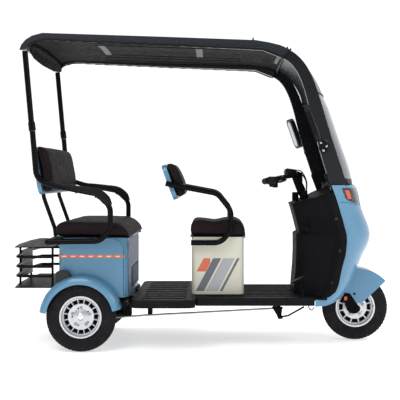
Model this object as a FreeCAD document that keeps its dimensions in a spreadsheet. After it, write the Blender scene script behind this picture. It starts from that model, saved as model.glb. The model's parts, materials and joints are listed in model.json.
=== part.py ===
import FreeCAD, Part
import math
import os
from types import SimpleNamespace

from FreeCAD import Placement, Rotation, Vector

# Open electric passenger tricycle with a fixed canopy.
# Millimetres. +X forward, +Y to the driver's left, +Z up, origin on the floor under the middle.

sizes = {
    # wheels
    "wheelbase": 1488,
    "rear_track": 658,
    "rear_overhang": 374,
    "tyre_diameter": 367,
    "tyre_width": 76,
    "tyre_wall": 9,
    "rim_diameter": 208,
    "rim_width": 64,
    "rim_flange": 6,
    "rim_wall": 5,
    "rim_well": 8,
    "disc_thickness": 10,
    "hub_cap_diameter": 54,
    "window_inner_radius": 71,
    "window_outer_radius": 88,
    "window_share": 0.72,
    "rear_windows": 16,
    "front_windows": 12,
    "wheel_bolts": 5,
    "wheel_bolt_circle": 92,
    "wheel_bolt_hole": 9,
    "drum_diameter": 132,
    "rear_spindle_diameter": 24,
    "front_axle_diameter": 12,
    "running_fit": 0.05,
    "seat_gap": 0.3,
    # rear axle and suspension
    "axle_tube_diameter": 52,
    "motor_diameter": 160,
    "motor_length": 200,
    "brake_plate_gap": 5,
    "brake_plate_thickness": 10,
    "arm_pivot_ahead": 231,
    "arm_offset": 228,
    "arm_diameter": 26,
    "shock_offset": 240,
    "shock_spring_diameter": 44,
    "shock_top": 372,
    # chassis
    "rail_width": 40,
    "rail_height": 30,
    "rail_offset": 150,
    "rail_bottom": 237,
    "rail_front": 543,
    "box_pad_height": 12,
    "tower_plate": 6,
    "cross_tube_diameter": 28,
    "neck_tube_diameter": 46,
    # steering
    "caster_angle": 23,
    "fork_offset": 20,
    "steering_limit": 30,
    "stem_diameter": 34,
    "head_tube_diameter": 54,
    "head_tube_length": 150,
    "head_tube_low": 545,
    "fork_leg_diameter": 30,
    "fork_leg_offset": 62,
    "fork_crown_height": 428,
    "fork_crown_thickness": 24,
    "handlebar_height": 925,
    "handlebar_setback": 8,
    "handlebar_diameter": 22,
    "handlebar_half_width": 278,
    "grip_length": 115,
    "grip_diameter": 32,
    "handlebar_sweep": 163,
    "handlebar_drop": 36,
    # front fender on the fork
    "front_fender_radius": 224,
    "front_fender_half_width": 81.3,
    "fender_wall": 4,
    # floor
    "floor_wall": 5,
    "floor_skirt": 42,
    "rear_floor_top": 278,
    "rear_floor_half_width": 397,
    "rear_floor_length": 330,
    "front_floor_top": 273,
    "front_floor_half_width": 282,
    "floor_split_x": -51,
    "front_floor_end": 583,
    "floor_corner": 40,
    "floor_rib_height": 3,
    "floor_rib_width": 8,
    "floor_ribs": 9,
    # rear box under the passenger bench
    "rear_box_length": 369,
    "rear_box_front": -407,
    "rear_box_half_width": 304,
    "rear_box_top": 598,
    "box_wall": 5,
    "box_corner": 36,
    "arch_radius": 208,
    "arch_inner_half_width": 200,
    "rear_fender_radius": 215,
    "rear_fender_lip_radius": 174,
    "rear_fender_half_width": 395,
    # passenger bench
    "bench_cushion_thickness": 58,
    "bench_cushion_half_width": 385,
    "bench_overhang": 19,
    "seat_board": 5,
    "hinge_pin_diameter": 6,
    "hinge_barrel_diameter": 10,
    "hinge_length": 60,
    "hinge_knuckle": 28,
    "lid_gap": 1,
    "bench_back_height": 250,
    "bench_back_cushion": 52,
    "bench_back_shell": 20,
    "bench_back_lean": 9,
    "bench_back_bottom": 835,
    "bench_back_foot_x": -790,
    "bench_post_offset": 214,
    "bench_post_diameter": 22,
    # armrests and rear pillars
    "pillar_tube_diameter": 29,
    "pillar_tube_offset": 427,
    "sleeve_diameter": 36,
    "armrest_pad_width": 44,
    "armrest_pad_thickness": 26,
    # driver's box and seat
    "driver_box_rear": -75,
    "driver_box_front": 210,
    "driver_box_half_width": 180,
    "driver_box_top": 589,
    "driver_cushion_thickness": 80,
    "driver_cushion_half_width": 182,
    "driver_overhang": 11,
    "driver_tube_diameter": 29,
    "driver_tube_offset": 215,
    "driver_back_height": 200,
    "driver_back_cushion": 48,
    "driver_back_shell": 24,
    "driver_back_lean": 20,
    "driver_back_bottom": 813,
    "driver_back_foot_x": -104,
    "battery_length": 230,
    "battery_width": 300,
    "battery_height": 180,
    # basket and tail
    "basket_half_width": 300,
    "basket_front": -800,
    "basket_bulge": 20,
    "basket_top": 548,
    "basket_bottom": 329,
    "basket_wire": 10,
    "basket_post": 12,
    "basket_plate": 6,
    "basket_slots": 9,
    "plate_panel_width": 262,
    "plate_panel_height": 150,
    "plate_bolt_spacing": 140,
    "plate_bolt_hole": 6,
    # cowl, shield and screen
    "panel_wall": 4,
    "shield_arch_half_width": 155,
    "shield_arch_top": 436,
    "pillar_depth": 24,
    "screen_wall": 4,
    "screen_gap": 0.5,
    # roof
    "roof_half_width_rear": 432,
    "roof_half_width_front": 400,
    "roof_crown": 22,
    "roof_rim": 26,
    "roof_skin": 5,
    "liner_drop": 26,
    "liner_thickness": 4,
    # mirrors
    "mirror_offset": 482,
    "mirror_width": 96,
    "mirror_height": 190,
    "mirror_thickness": 26,
    "mirror_arm": 14,
    "mirror_toe": 12,
    "pedal_rod": 12,
    "brake_rod_diameter": 10,
}

doc = FreeCAD.newDocument("CanopyTricycle")
sheet = doc.addObject("Spreadsheet::Sheet", "Sizes")
for row, (alias, value) in enumerate(sizes.items(), 1):
    sheet.set(f"A{row}", alias)
    sheet.set(f"B{row}", str(value))
    sheet.setAlias(f"B{row}", alias)
doc.recompute()
size = SimpleNamespace(**{alias: float(sheet.get(alias)) for alias in sizes})

# places worked out from the driving dimensions
wheel_z = size.tyre_diameter / 2
overall_length = size.rear_overhang + size.wheelbase + size.tyre_diameter / 2
rear_x = size.rear_overhang - overall_length / 2
front_x = rear_x + size.wheelbase
rear_box_rear = size.rear_box_front - size.rear_box_length
floor_top = size.front_floor_top
rear_floor_rear = size.floor_split_x - size.rear_floor_length
cross_bar_x, cross_bar_z = rear_box_rear - 30, 583
caster = math.radians(size.caster_angle)
steer_down = Vector(math.sin(caster), 0, -math.cos(caster))
steer_ahead = Vector(math.cos(caster), 0, math.sin(caster))
steer_foot = Vector(front_x, 0, wheel_z) - steer_ahead * size.fork_offset

sub_parts = []


def steer_point(z):
    """Point of the steering axis at height z."""
    return steer_foot - steer_down * ((z - wheel_z) / math.cos(caster))


def keep(thing, label):
    """Name a finished sub-part; its label names its file."""
    thing.Label = label
    sub_parts.append(thing)
    return thing


def feature(name, shape):
    """Hold a lofted or swept shape as a document object."""
    thing = doc.addObject("Part::Feature", name)
    thing.Shape = shape
    return thing


def path(name, points, bend):
    """Wire of straight runs joined by tangent arcs of radius bend."""
    edges = []
    start = points[0]
    for before, corner, after in zip(points, points[1:], points[2:]):
        d1 = (corner - before).normalize()
        d2 = (after - corner).normalize()
        half = d1.getAngle(d2) / 2
        radius = min(bend, 0.48 * min((corner - before).Length, (after - corner).Length) / math.tan(half))
        reach = radius * math.tan(half)
        inward = (d2 - d1).normalize()
        a, b = corner - d1 * reach, corner + d2 * reach
        middle = corner + inward * (radius / math.cos(half) - radius)
        edges.append(Part.LineSegment(start, a).toShape())
        edges.append(Part.Arc(a, middle, b).toShape())
        start = b
    edges.append(Part.LineSegment(start, points[-1]).toShape())
    return feature(name, Part.Wire(edges))


def tube(name, points, diameter, bend=60):
    """Round bar swept along a bent path; diameter is the name of a size."""
    spine = path(name + "_path", points, bend)
    ring = doc.addObject("Part::Circle", name + "_section")
    ring.setExpression("Radius", f"Sizes.{diameter} / 2")
    ring.Placement = Placement(points[0], Rotation(Vector(0, 0, 1), points[1] - points[0]))
    sweep = doc.addObject("Part::Sweep", name)
    sweep.Sections = [ring]
    sweep.Spine = (spine, [f"Edge{i + 1}" for i in range(len(spine.Shape.Edges))])
    sweep.Solid = True
    return sweep


def rod(name, a, b, radius):
    """Cylinder from point a to point b; radius is an expression on the sizes."""
    bar = doc.addObject("Part::Cylinder", name)
    bar.setExpression("Radius", radius)
    bar.Height = (b - a).Length
    bar.Placement = Placement(a, Rotation(Vector(0, 0, 1), b - a))
    return bar


def block(name, low, high):
    """Box between two corners."""
    box = doc.addObject("Part::Box", name)
    box.Length, box.Width, box.Height = (high - low)
    box.Placement.Base = low
    return box


def fuse(name, things):
    """Join pieces one after another into a single solid."""
    joined = things[0]
    for number, thing in enumerate(things[1:]):
        pair = doc.addObject("Part::Fuse", f"{name}_join_{number}")
        pair.Base = joined
        pair.Tool = thing
        joined = pair
    return joined


def cut(name, base, tool):
    rest = doc.addObject("Part::Cut", name)
    rest.Base = base
    rest.Tool = tool
    return rest


def group(name, things):
    """Like pieces that don't touch, kept in one sub-part."""
    pair = doc.addObject("Part::Compound", name)
    pair.Links = things
    return pair


def mirrored(name, thing):
    """Copy on the other side of the vehicle's middle plane."""
    other = doc.addObject("Part::Mirroring", name)
    other.Source = thing
    other.Normal = Vector(0, 1, 0)
    return other


def polygon(points):
    return Part.makePolygon(list(points) + [points[0]])


def side_plate(name, outline, y0, y1):
    """Plate from a side outline of (x, z) corners, between two values of y."""
    face = Part.Face(polygon([Vector(x, y0, z) for x, z in outline]))
    return feature(name, face.extrude(Vector(0, y1 - y0, 0)))


def clear_of(shape, other, gap):
    """The shape cut back from another one, with a small gap along each axis."""
    for step in (Vector(gap, 0, 0), Vector(-gap, 0, 0), Vector(0, gap, 0), Vector(0, -gap, 0)):
        shape = shape.cut(other.translated(step))
    return shape


def new_body(name):
    body = doc.addObject("PartDesign::Body", name)
    planes = {plane.Role: plane for plane in body.Origin.OriginFeatures}
    return body, planes


def sketch_on(body, plane, name):
    sketch = body.newObject("Sketcher::SketchObject", name)
    sketch.AttachmentSupport = [(plane, "")]
    sketch.MapMode = "FlatFace"
    return sketch


def outline(sketch, points):
    """Closed outline of straight edges through (x, y) points."""
    for (x0, y0), (x1, y1) in zip(points, points[1:] + points[:1]):
        sketch.addGeometry(Part.LineSegment(Vector(x0, y0, 0), Vector(x1, y1, 0)), False)


def rounded_outline(sketch, x0, y0, x1, y1, r):
    """Rectangle with round corners."""
    for a, b in (((x0 + r, y0), (x1 - r, y0)), ((x1, y0 + r), (x1, y1 - r)),
                 ((x1 - r, y1), (x0 + r, y1)), ((x0, y1 - r), (x0, y0 + r))):
        sketch.addGeometry(Part.LineSegment(Vector(*a, 0), Vector(*b, 0)), False)
    for cx, cy, start in ((x0 + r, y0 + r, 180), (x1 - r, y0 + r, 270), (x1 - r, y1 - r, 0), (x0 + r, y1 - r, 90)):
        ring = Part.Circle(Vector(cx, cy, 0), Vector(0, 0, 1), r)
        arc = Part.ArcOfCircle(ring, math.radians(start), math.radians(start + 90))
        sketch.addGeometry(arc, False)


def rounded_block(name, x0, y0, x1, y1, z0, height, corner):
    """Upright body with a rounded rectangle as its plan; height is an expression on the sizes."""
    body, planes = new_body(name)
    plan = sketch_on(body, planes["XY_Plane"], name + "_plan")
    rounded_outline(plan, x0, y0, x1, y1, corner)
    pad = body.newObject("PartDesign::Pad", name + "_pad")
    pad.Profile = plan
    pad.setExpression("Length", height)
    body.Placement.Base = Vector(0, 0, z0)
    return body


# wheels


def tyre(name):
    """Carcass open to the rim, with straight facets for shoulder, wall and bead."""
    body, planes = new_body(name)
    section = sketch_on(body, planes["XY_Plane"], name + "_section")
    tread = size.tyre_diameter / 2
    seat = size.rim_diameter / 2 + size.seat_gap
    half = size.tyre_width / 2
    bead = size.rim_width / 2 - size.rim_flange - size.seat_gap
    wall = size.tyre_wall
    rise = tread - seat
    side = [(seat, bead), (seat + 0.14 * rise, bead), (seat + 0.3 * rise, half - 3), (seat + 0.55 * rise, half),
            (tread - 0.2 * rise, half - 4), (tread - 0.04 * rise, 0.5 * half)]
    inner = [(seat, bead - wall), (tread - wall - 0.2 * rise, half - wall - 5), (tread - wall, 0.3 * half)]
    points = ([(r, -y) for r, y in side] + [(tread, 0)] + [(r, y) for r, y in reversed(side)]
              + inner + [(r, -y) for r, y in reversed(inner)])
    outline(section, points)
    turn = body.newObject("PartDesign::Revolution", name + "_turn")
    turn.Profile = section
    turn.ReferenceAxis = (section, ["V_Axis"])
    turn.Angle = 360
    return body


def polar_cut(body, planes, name, sketch, count):
    """Cut one opening through the wheel disc and repeat it round the axle."""
    pocket = body.newObject("PartDesign::Pocket", name)
    pocket.Profile = sketch
    pocket.Type = 1
    pocket.Midplane = True
    ring = body.newObject("PartDesign::PolarPattern", name + "_ring")
    ring.Originals = [pocket]
    ring.Axis = (planes["Y_Axis"], [""])
    ring.Angle = 360
    ring.setExpression("Occurrences", f"Sizes.{count}")
    body.Tip = ring


def rim(name, bore, drum_end, far_end, windows, blind):
    """Cast wheel: stepped barrel, drum, disc with a ring of windows and bolt holes.

    The outer face looks along +Y. drum_end and far_end are the distances of the hub's two ends
    from the wheel's middle plane.
    """
    body, planes = new_body(name)
    section = sketch_on(body, planes["XY_Plane"], name + "_section")
    seat = size.rim_diameter / 2
    half = size.rim_width / 2
    flange = seat + size.rim_flange
    lip = half - size.rim_flange + 1
    well = seat - size.rim_well
    wall = size.rim_wall
    disc = size.disc_thickness
    drum = size.drum_diameter / 2
    cap = size.hub_cap_diameter / 2
    shaft = bore / 2 + size.running_fit
    points = [(shaft, -drum_end), (drum, -drum_end), (drum, 2), (well - wall, 2), (well - wall, -0.36 * half),
              (seat - wall, -0.62 * half), (seat - wall, -half), (flange, -half), (flange, -lip), (seat, -lip),
              (seat, -0.62 * half), (well, -0.36 * half), (well, 0.3 * half), (seat, 0.56 * half),
              (seat, lip), (flange, lip), (flange, half), (seat - wall, half), (seat - wall, 0.56 * half),
              (well + 2, disc + 2), (cap + 16, disc + 2), (cap, disc + 8), (cap, far_end)]
    points += [(0, far_end + 4), (0, far_end - 6), (shaft, far_end - 6)] if blind else [(shaft, far_end)]
    outline(section, points)
    turn = body.newObject("PartDesign::Revolution", name + "_turn")
    turn.Profile = section
    turn.ReferenceAxis = (section, ["V_Axis"])
    turn.Angle = 360
    doc.recompute()
    opening = sketch_on(body, planes["XZ_Plane"], name + "_window")
    count = size.rear_windows if windows == "rear_windows" else size.front_windows
    spread = math.pi / count * size.window_share
    corners = [(r * math.cos(a), r * math.sin(a)) for r, a in
               ((size.window_inner_radius, -spread), (size.window_outer_radius, -spread),
                (size.window_outer_radius, spread), (size.window_inner_radius, spread))]
    outline(opening, corners)
    polar_cut(body, planes, name + "_windows", opening, windows)
    holes = sketch_on(body, planes["XZ_Plane"], name + "_bolt")
    holes.addGeometry(Part.Circle(Vector(size.wheel_bolt_circle / 2, 0, 0), Vector(0, 0, 1),
                                  size.wheel_bolt_hole / 2), False)
    polar_cut(body, planes, name + "_bolts", holes, "wheel_bolts")
    return body


def rear_wheel(side, label):
    """Tyre and rim of one rear wheel; side is +1 for left."""
    y = side * size.rear_track / 2
    drum_end = size.rim_width / 2 + 18
    carcass = tyre("rear_tyre_" + label)
    wheel = rim("rear_rim_" + label, size.rear_spindle_diameter, drum_end, 24, "rear_windows", True)
    for piece in (carcass, wheel):
        piece.Placement = Placement(Vector(rear_x, y, wheel_z), Rotation(Vector(0, 0, 1), 0 if side > 0 else 180))
        keep(piece, piece.Name)


def front_wheel():
    carcass = tyre("front_tyre")
    half_hub = size.fork_leg_offset - size.fork_leg_diameter / 2 - 9
    wheel = rim("front_rim", size.front_axle_diameter, half_hub, half_hub, "front_windows", False)
    for piece in (carcass, wheel):
        piece.Placement = Placement(Vector(front_x, 0, wheel_z), Rotation(Vector(0, 0, 1), 180))
        keep(piece, piece.Name)


def rear_axle():
    """Tubes either side of the motor, spindles for the wheels and brake back plates."""
    spindle_end = size.rear_track / 2 + 16
    drum_face = size.rear_track / 2 - size.rim_width / 2 - 18
    plate = drum_face - size.brake_plate_gap
    centre = Vector(rear_x, 0, wheel_z)
    halves = []
    for side, label in ((1, "left"), (-1, "right")):
        out = Vector(0, side, 0)
        halves.append(fuse("axle_half_" + label, [
            rod("axle_tube_" + label, centre + out * (size.motor_length / 2), centre + out * plate,
                "Sizes.axle_tube_diameter / 2"),
            rod("brake_plate_" + label, centre + out * (plate - size.brake_plate_thickness), centre + out * plate,
                "Sizes.drum_diameter / 2 + 4"),
            rod("spindle_" + label, centre + out * (plate - 2), centre + out * spindle_end,
                "Sizes.rear_spindle_diameter / 2")]))
    keep(group("rear_axle", halves), "rear_axle")
    motor = doc.addObject("Part::Cylinder", "drive_motor")
    motor.setExpression("Radius", "Sizes.motor_diameter / 2")
    motor.setExpression("Height", "Sizes.motor_length")
    motor.Placement = Placement(centre - Vector(0, size.motor_length / 2, 0), Rotation(Vector(1, 0, 0), -90))
    keep(motor, "drive_motor")


def trailing_arms():
    """One arm each side from a chassis bracket back to a clamp round the axle tube."""
    arms = []
    clamp = size.axle_tube_diameter / 2 + size.seat_gap
    pivot_z = wheel_z + 4
    for side, label in ((1, "left"), (-1, "right")):
        y = side * size.arm_offset
        ring = rod("arm_clamp_" + label, Vector(rear_x, y - 20, wheel_z), Vector(rear_x, y + 20, wheel_z),
                   "Sizes.axle_tube_diameter / 2 + 10")
        bar = rod("arm_bar_" + label, Vector(rear_x + 20, y, wheel_z),
                  Vector(rear_x + size.arm_pivot_ahead, y, pivot_z), "Sizes.arm_diameter / 2")
        eye = rod("arm_eye_" + label, Vector(rear_x + size.arm_pivot_ahead, y - 18, pivot_z),
                  Vector(rear_x + size.arm_pivot_ahead, y + 18, pivot_z), "Sizes.arm_diameter / 2 + 5")
        bolt = rod("arm_bore_" + label, Vector(rear_x + size.arm_pivot_ahead, y - 30, pivot_z),
                   Vector(rear_x + size.arm_pivot_ahead, y + 30, pivot_z), "6 + Sizes.running_fit")
        bore = rod("arm_seat_" + label, Vector(rear_x, y - 30, wheel_z), Vector(rear_x, y + 30, wheel_z),
                   "Sizes.axle_tube_diameter / 2 + Sizes.seat_gap")
        solid = fuse("arm_solid_" + label, [ring, bar, eye])
        arms.append(cut("arm_" + label, solid, fuse("arm_holes_" + label, [bolt, bore])))
    keep(group("trailing_arms", arms), "trailing_arms")


def shock_absorbers():
    """Upright coil dampers from the axle clamps to the chassis towers."""
    dampers = []
    foot = wheel_z + size.axle_tube_diameter / 2 + 10 + size.seat_gap
    for side, label in ((1, "left"), (-1, "right")):
        base = Vector(rear_x, side * size.shock_offset, foot)
        top = Vector(base.x, base.y, size.shock_top)
        dampers.append(fuse("damper_" + label, [
            rod("damper_rod_" + label, base, top, "9"),
            rod("damper_spring_" + label, base + Vector(0, 0, 22), top - Vector(0, 0, 20),
                "Sizes.shock_spring_diameter / 2"),
            rod("damper_foot_" + label, base, base + Vector(0, 0, 14), "16"),
            rod("damper_head_" + label, top - Vector(0, 0, 12), top, "16")]))
    keep(group("shock_absorbers", dampers), "shock_absorbers")


def brake_rod_height(x):
    """Height of the brake rod's axis at length x."""
    return 165 + (x + 330) * (205 - 165) / 750


def chassis_frame():
    """Two rails with cross tubes, the neck up to the head tube, damper towers and arm brackets."""
    low = size.rail_bottom
    high = low + size.rail_height
    rail_rear = rear_box_rear + 12
    rail_front = size.rail_front
    parts = []
    towers = []
    for side, label in ((1, "left"), (-1, "right")):
        y = side * size.rail_offset
        parts.append(block("rail_" + label, Vector(rail_rear, y - size.rail_width / 2, low),
                           Vector(rail_front, y + size.rail_width / 2, high)))
        arm_y = side * size.arm_offset
        pivot = Vector(rear_x + size.arm_pivot_ahead, arm_y, wheel_z + 4)
        for ear in (-1, 1):
            ear_y = arm_y + ear * 22
            parts.append(block(f"arm_ear_{label}_{ear + 1}", Vector(pivot.x - 22, ear_y - 3, pivot.z - 16),
                               Vector(pivot.x + 22, ear_y + 3, high)))
        parts.append(rod("arm_pin_" + label, pivot - Vector(0, 28, 0), pivot + Vector(0, 28, 0), "6"))
        tower = size.arch_inner_half_width + 1
        plate = size.tower_plate
        top = size.shock_top + size.seat_gap
        pieces = []
        for part_name, y_a, y_b, z_a, z_b in (("foot", size.rail_offset, tower + plate, high - plate, high),
                                              ("web", tower, tower + plate, high + size.seat_gap, top + plate),
                                              ("head", tower, size.shock_offset + 20, top, top + plate)):
            y_low, y_high = sorted((side * y_a, side * y_b))
            pieces.append(block(f"tower_{part_name}_{label}", Vector(rear_x - 22, y_low, z_a),
                                Vector(rear_x + 22, y_high, z_b)))
        parts.append(pieces[0])
        towers.append(fuse("shock_tower_" + label, pieces[1:]))
    keep(group("shock_towers", towers), "shock_towers")
    cross = [rail_rear + 20, size.rear_box_front - 10, (rear_floor_rear + size.floor_split_x) / 2, 180, rail_front - 20]
    for number, x in enumerate(cross):
        half = size.rear_floor_half_width - 30 if x in cross[1:3] else size.rail_offset
        middle = Vector(x, 0, low + size.rail_height / 2)
        parts.append(rod(f"cross_tube_{number}", middle - Vector(0, half, 0), middle + Vector(0, half, 0),
                         "Sizes.cross_tube_diameter / 2"))
    rod_y = -size.rail_offset - size.rail_width / 2 - 14
    for number, x in enumerate((395, -300)):
        parts.append(block(f"rod_hanger_{number}", Vector(x - 12, rod_y - 6, brake_rod_height(x) + 5.6),
                           Vector(x + 12, -size.rail_offset, low + 6)))
    neck_foot = Vector(rail_front - 20, 0, low + size.rail_height / 2)
    head_low = steer_point(size.head_tube_low)
    head_high = head_low - steer_down * size.head_tube_length
    head_middle = (head_low + head_high) * 0.5
    knee = Vector(rail_front + 34, 0, low + 160)
    parts.append(tube("neck", [neck_foot, knee, head_middle], "neck_tube_diameter", 90))
    parts.append(rod("head_tube", head_low, head_high, "Sizes.head_tube_diameter / 2"))
    bore = rod("head_bore", head_low + steer_down * 60, head_high - steer_down * 60,
               "Sizes.stem_diameter / 2 + Sizes.running_fit")
    keep(cut("chassis_frame", fuse("chassis_solid", parts), bore), "chassis_frame")


# steering


def steering_fork():
    """Stem, crown and two legs with lugs for the axle."""
    crown = steer_point(size.fork_crown_height)
    stem_top = steer_point(size.handlebar_height - 40)
    axle = Vector(front_x, 0, wheel_z)
    leg_start = crown + steer_ahead * size.fork_offset
    parts = [rod("stem", crown, stem_top, "Sizes.stem_diameter / 2")]
    y = size.fork_leg_offset
    crown_block = block("crown_plate", Vector(-24, -y - 18, -12), Vector(44, y + 18, 12))
    crown_block.Placement = Placement(crown - steer_ahead * 24 - Vector(0, y + 18, 0) + steer_down * 12,
                                      Rotation(Vector(0, 1, 0), -size.caster_angle))
    parts.append(crown_block)
    for side, label in ((1, "left"), (-1, "right")):
        out = Vector(0, side * y, 0)
        leg = rod("leg_" + label, leg_start + out, axle + out, "Sizes.fork_leg_diameter / 2")
        lug = rod("lug_" + label, axle + Vector(0, side * (y - 17), 0), axle + Vector(0, side * (y + 17), 0), "20")
        parts.append(fuse("leg_and_lug_" + label, [leg, lug]))
    bore = rod("axle_bore", axle - Vector(0, y + 30, 0), axle + Vector(0, y + 30, 0),
               "Sizes.front_axle_diameter / 2 + Sizes.running_fit")
    keep(cut("steering_fork", fuse("fork_solid", parts), bore), "steering_fork")
    pin = fuse("front_axle", [
        rod("axle_pin", axle - Vector(0, y + 22, 0), axle + Vector(0, y + 22, 0), "Sizes.front_axle_diameter / 2"),
        rod("axle_nut_right", axle - Vector(0, y + 26, 0), axle - Vector(0, y + 17.3, 0), "11"),
        rod("axle_nut_left", axle + Vector(0, y + 17.3, 0), axle + Vector(0, y + 26, 0), "11")])
    keep(pin, "front_axle")


def handlebar():
    """Riser clamped on the stem with a bar swept back to the grips."""
    stem_top = steer_point(size.handlebar_height - 40)
    bar = Vector(stem_top.x - size.handlebar_setback, 0, size.handlebar_height)
    tip = Vector(bar.x - size.handlebar_sweep, size.handlebar_half_width, bar.z - size.handlebar_drop)
    grip_in = Vector(tip.x + 22, tip.y - size.grip_length, tip.z + 5)
    bend_out = Vector(grip_in.x + 60, grip_in.y - 54, bar.z - 10)
    bend_in = Vector(bar.x, 70, bar.z)
    half = [tip, grip_in + (grip_in - tip) * 0.2, bend_out, bend_in]
    points = half + [Vector(p.x, -p.y, p.z) for p in reversed(half)]
    parts = [tube("bar", points, "handlebar_diameter", 60),
             rod("riser", stem_top - steer_down * 0.3, stem_top - steer_down * 20, "Sizes.stem_diameter / 2 + 6"),
             block("bar_clamp", Vector(bar.x - 18, -34, stem_top.z + 9), Vector(stem_top.x + 20, 34, bar.z + 16))]
    keep(fuse("handlebar", parts), "handlebar")
    grips = []
    for side, label in ((1, "left"), (-1, "right")):
        a = Vector(tip.x, side * tip.y, tip.z)
        b = Vector(grip_in.x, side * grip_in.y, grip_in.z)
        along = (b - a).normalize()
        shell = rod("grip_solid_" + label, a - along * 4, b, "Sizes.grip_diameter / 2")
        bore = rod("grip_bore_" + label, a - along * 0.3, b + along * 20,
                   "Sizes.handlebar_diameter / 2 + Sizes.seat_gap")
        grips.append(cut("grip_" + label, shell, bore))
    keep(group("grips", grips), "grips")


def front_fender():
    """Band over the front tyre with a cheek each side down to the fork lugs."""
    r = size.front_fender_radius
    half = size.front_fender_half_width
    wall = size.fender_wall
    start, end = 44, 108
    section = polygon([Vector(r - wall, -half + wall, 0), Vector(r - wall, half - wall, 0),
                       Vector(r - wall, half, 0), Vector(r, half - 14, 0), Vector(r, -half + 14, 0),
                       Vector(r - wall, -half, 0)])
    band = Part.Face(section).revolve(Vector(), Vector(0, -1, 0), end - start)
    band.rotate(Vector(), Vector(0, -1, 0), start)
    band.translate(Vector(front_x, 0, wheel_z))
    parts = [feature("fender_band", band)]
    arc_steps = 7
    rim_points = []
    for step in range(arc_steps):
        a = math.radians(start + (end - start) * step / (arc_steps - 1))
        rim_points.append((front_x + (r - 1) * math.cos(a), wheel_z + (r - 1) * math.sin(a)))
    cheek = rim_points + [(front_x - 78, wheel_z + 96), (front_x - 34, wheel_z + 60), (front_x - 6, wheel_z + 34),
                          (front_x + 22, wheel_z + 30), (front_x + 44, wheel_z + 46)]
    for side in (1, -1):
        parts.append(side_plate(f"fender_cheek_{side + 1}", cheek, side * half, side * (half - wall)))
    keep(fuse("front_fender", parts), "front_fender")


# floor


def floor_tray(name, x0, x1, half, top, corner, ribs):
    """Tray with a skirt, hollow below, and raised ribs along its top."""
    body = rounded_block(name + "_tray", x0, -half, x1, half, top - size.floor_skirt, "Sizes.floor_skirt", corner)
    planes = {plane.Role: plane for plane in body.Origin.OriginFeatures}
    doc.recompute()
    hollow = sketch_on(body, planes["XY_Plane"], name + "_hollow")
    wall = size.floor_wall
    rounded_outline(hollow, x0 + wall, -half + wall, x1 - wall, half - wall, max(corner - wall, 2))
    pocket = body.newObject("PartDesign::Pocket", name + "_pocket")
    pocket.Profile = hollow
    pocket.setExpression("Length", "Sizes.floor_skirt - Sizes.floor_wall")
    pocket.Reversed = True
    doc.recompute()
    rib = sketch_on(body, planes["XY_Plane"], name + "_rib")
    rib.AttachmentOffset = Placement(Vector(0, 0, size.floor_skirt), Rotation())
    span = half - 60
    outline(rib, [(x0 + 50, -span), (x1 - 50, -span), (x1 - 50, -span + size.floor_rib_width),
                  (x0 + 50, -span + size.floor_rib_width)])
    raised = body.newObject("PartDesign::Pad", name + "_raised")
    raised.Profile = rib
    raised.setExpression("Length", "Sizes.floor_rib_height")
    row_of = body.newObject("PartDesign::LinearPattern", name + "_ribs")
    row_of.Originals = [raised]
    row_of.Direction = (planes["Y_Axis"], [""])
    row_of.Length = 2 * span - size.floor_rib_width
    row_of.setExpression("Occurrences", f"Sizes.{ribs}")
    body.Tip = row_of
    tray = body
    if x1 > 300:
        tongue = block(name + "_tongue", Vector(x1 - 8, 16 - half, top - 18), Vector(x1 + 36, half - 16, top))
        tray = fuse(name + "_with_tongue", [body, tongue])
    notches = []
    for side in (1, -1):
        y_low = side * size.rail_offset - size.rail_width / 2 - 1
        notches.append(block(f"{name}_notch_{side + 1}", Vector(x0 - 20, y_low, top - size.floor_skirt - 5),
                             Vector(x1 + 20, y_low + size.rail_width + 2, size.rail_bottom + size.rail_height + 0.3)))
    if x1 > 300:
        half_neck = size.neck_tube_diameter / 2 + 3
        notches.append(block(name + "_neck_hole", Vector(size.rail_front - 45, -half_neck, top - 60),
                             Vector(size.rail_front + 24, half_neck, top + 60)))
    keep(cut(name, tray, group(name + "_notches", notches)), name)


# boxes and seats


def arch_cylinders(name, radius, inner):
    """Cylinders round the rear wheels, outboard of the given half width."""
    ends = []
    for side in (1, -1):
        ends.append(rod(f"{name}_{side + 1}", Vector(rear_x, side * inner, wheel_z),
                        Vector(rear_x, side * (size.rear_fender_half_width + 60), wheel_z), radius))
    return fuse(name, ends)


def rear_box():
    """Storage box under the bench, open at the top, with arches for the wheels."""
    seat = size.rail_bottom + size.rail_height + size.seat_gap
    bottom = seat + size.box_pad_height
    half = size.rear_box_half_width
    wall = size.box_wall
    x0, x1 = rear_box_rear, size.rear_box_front
    outer = rounded_block("rear_box_outer", x0, -half, x1, half, bottom, f"Sizes.rear_box_top - {bottom}",
                          size.box_corner)
    inner = rounded_block("rear_box_inner", x0 + wall, -half + wall, x1 - wall, half - wall, bottom + wall,
                          f"Sizes.rear_box_top - {bottom}", size.box_corner - wall)
    cavity = cut("rear_box_cavity", inner,
                 arch_cylinders("rear_box_arch_wall", "Sizes.arch_radius + Sizes.box_wall",
                                size.arch_inner_half_width - wall))
    shell = cut("rear_box_shell", outer, cavity)
    body = cut("rear_box_arched", shell,
               arch_cylinders("rear_box_arch", "Sizes.arch_radius", size.arch_inner_half_width))
    lugs = hinge_pins("rear_box", size.rear_box_front, size.bench_overhang, size.rear_box_top, 230)
    for side in (1, -1):
        y = side * size.rail_offset
        lugs.append(block(f"rear_box_pad_{side + 1}", Vector(x0 + 40, y - 20, seat), Vector(x1 - 30, y + 20, bottom + 1)))
    keep(fuse("rear_box", [body] + lugs), "rear_box")


def hinge_place(front, overhang, top):
    """Axis of a seat lid's hinge: under the cushion's front overhang."""
    return Vector(front + overhang - size.hinge_barrel_diameter / 2, 0, top - size.hinge_barrel_diameter / 2)


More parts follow.
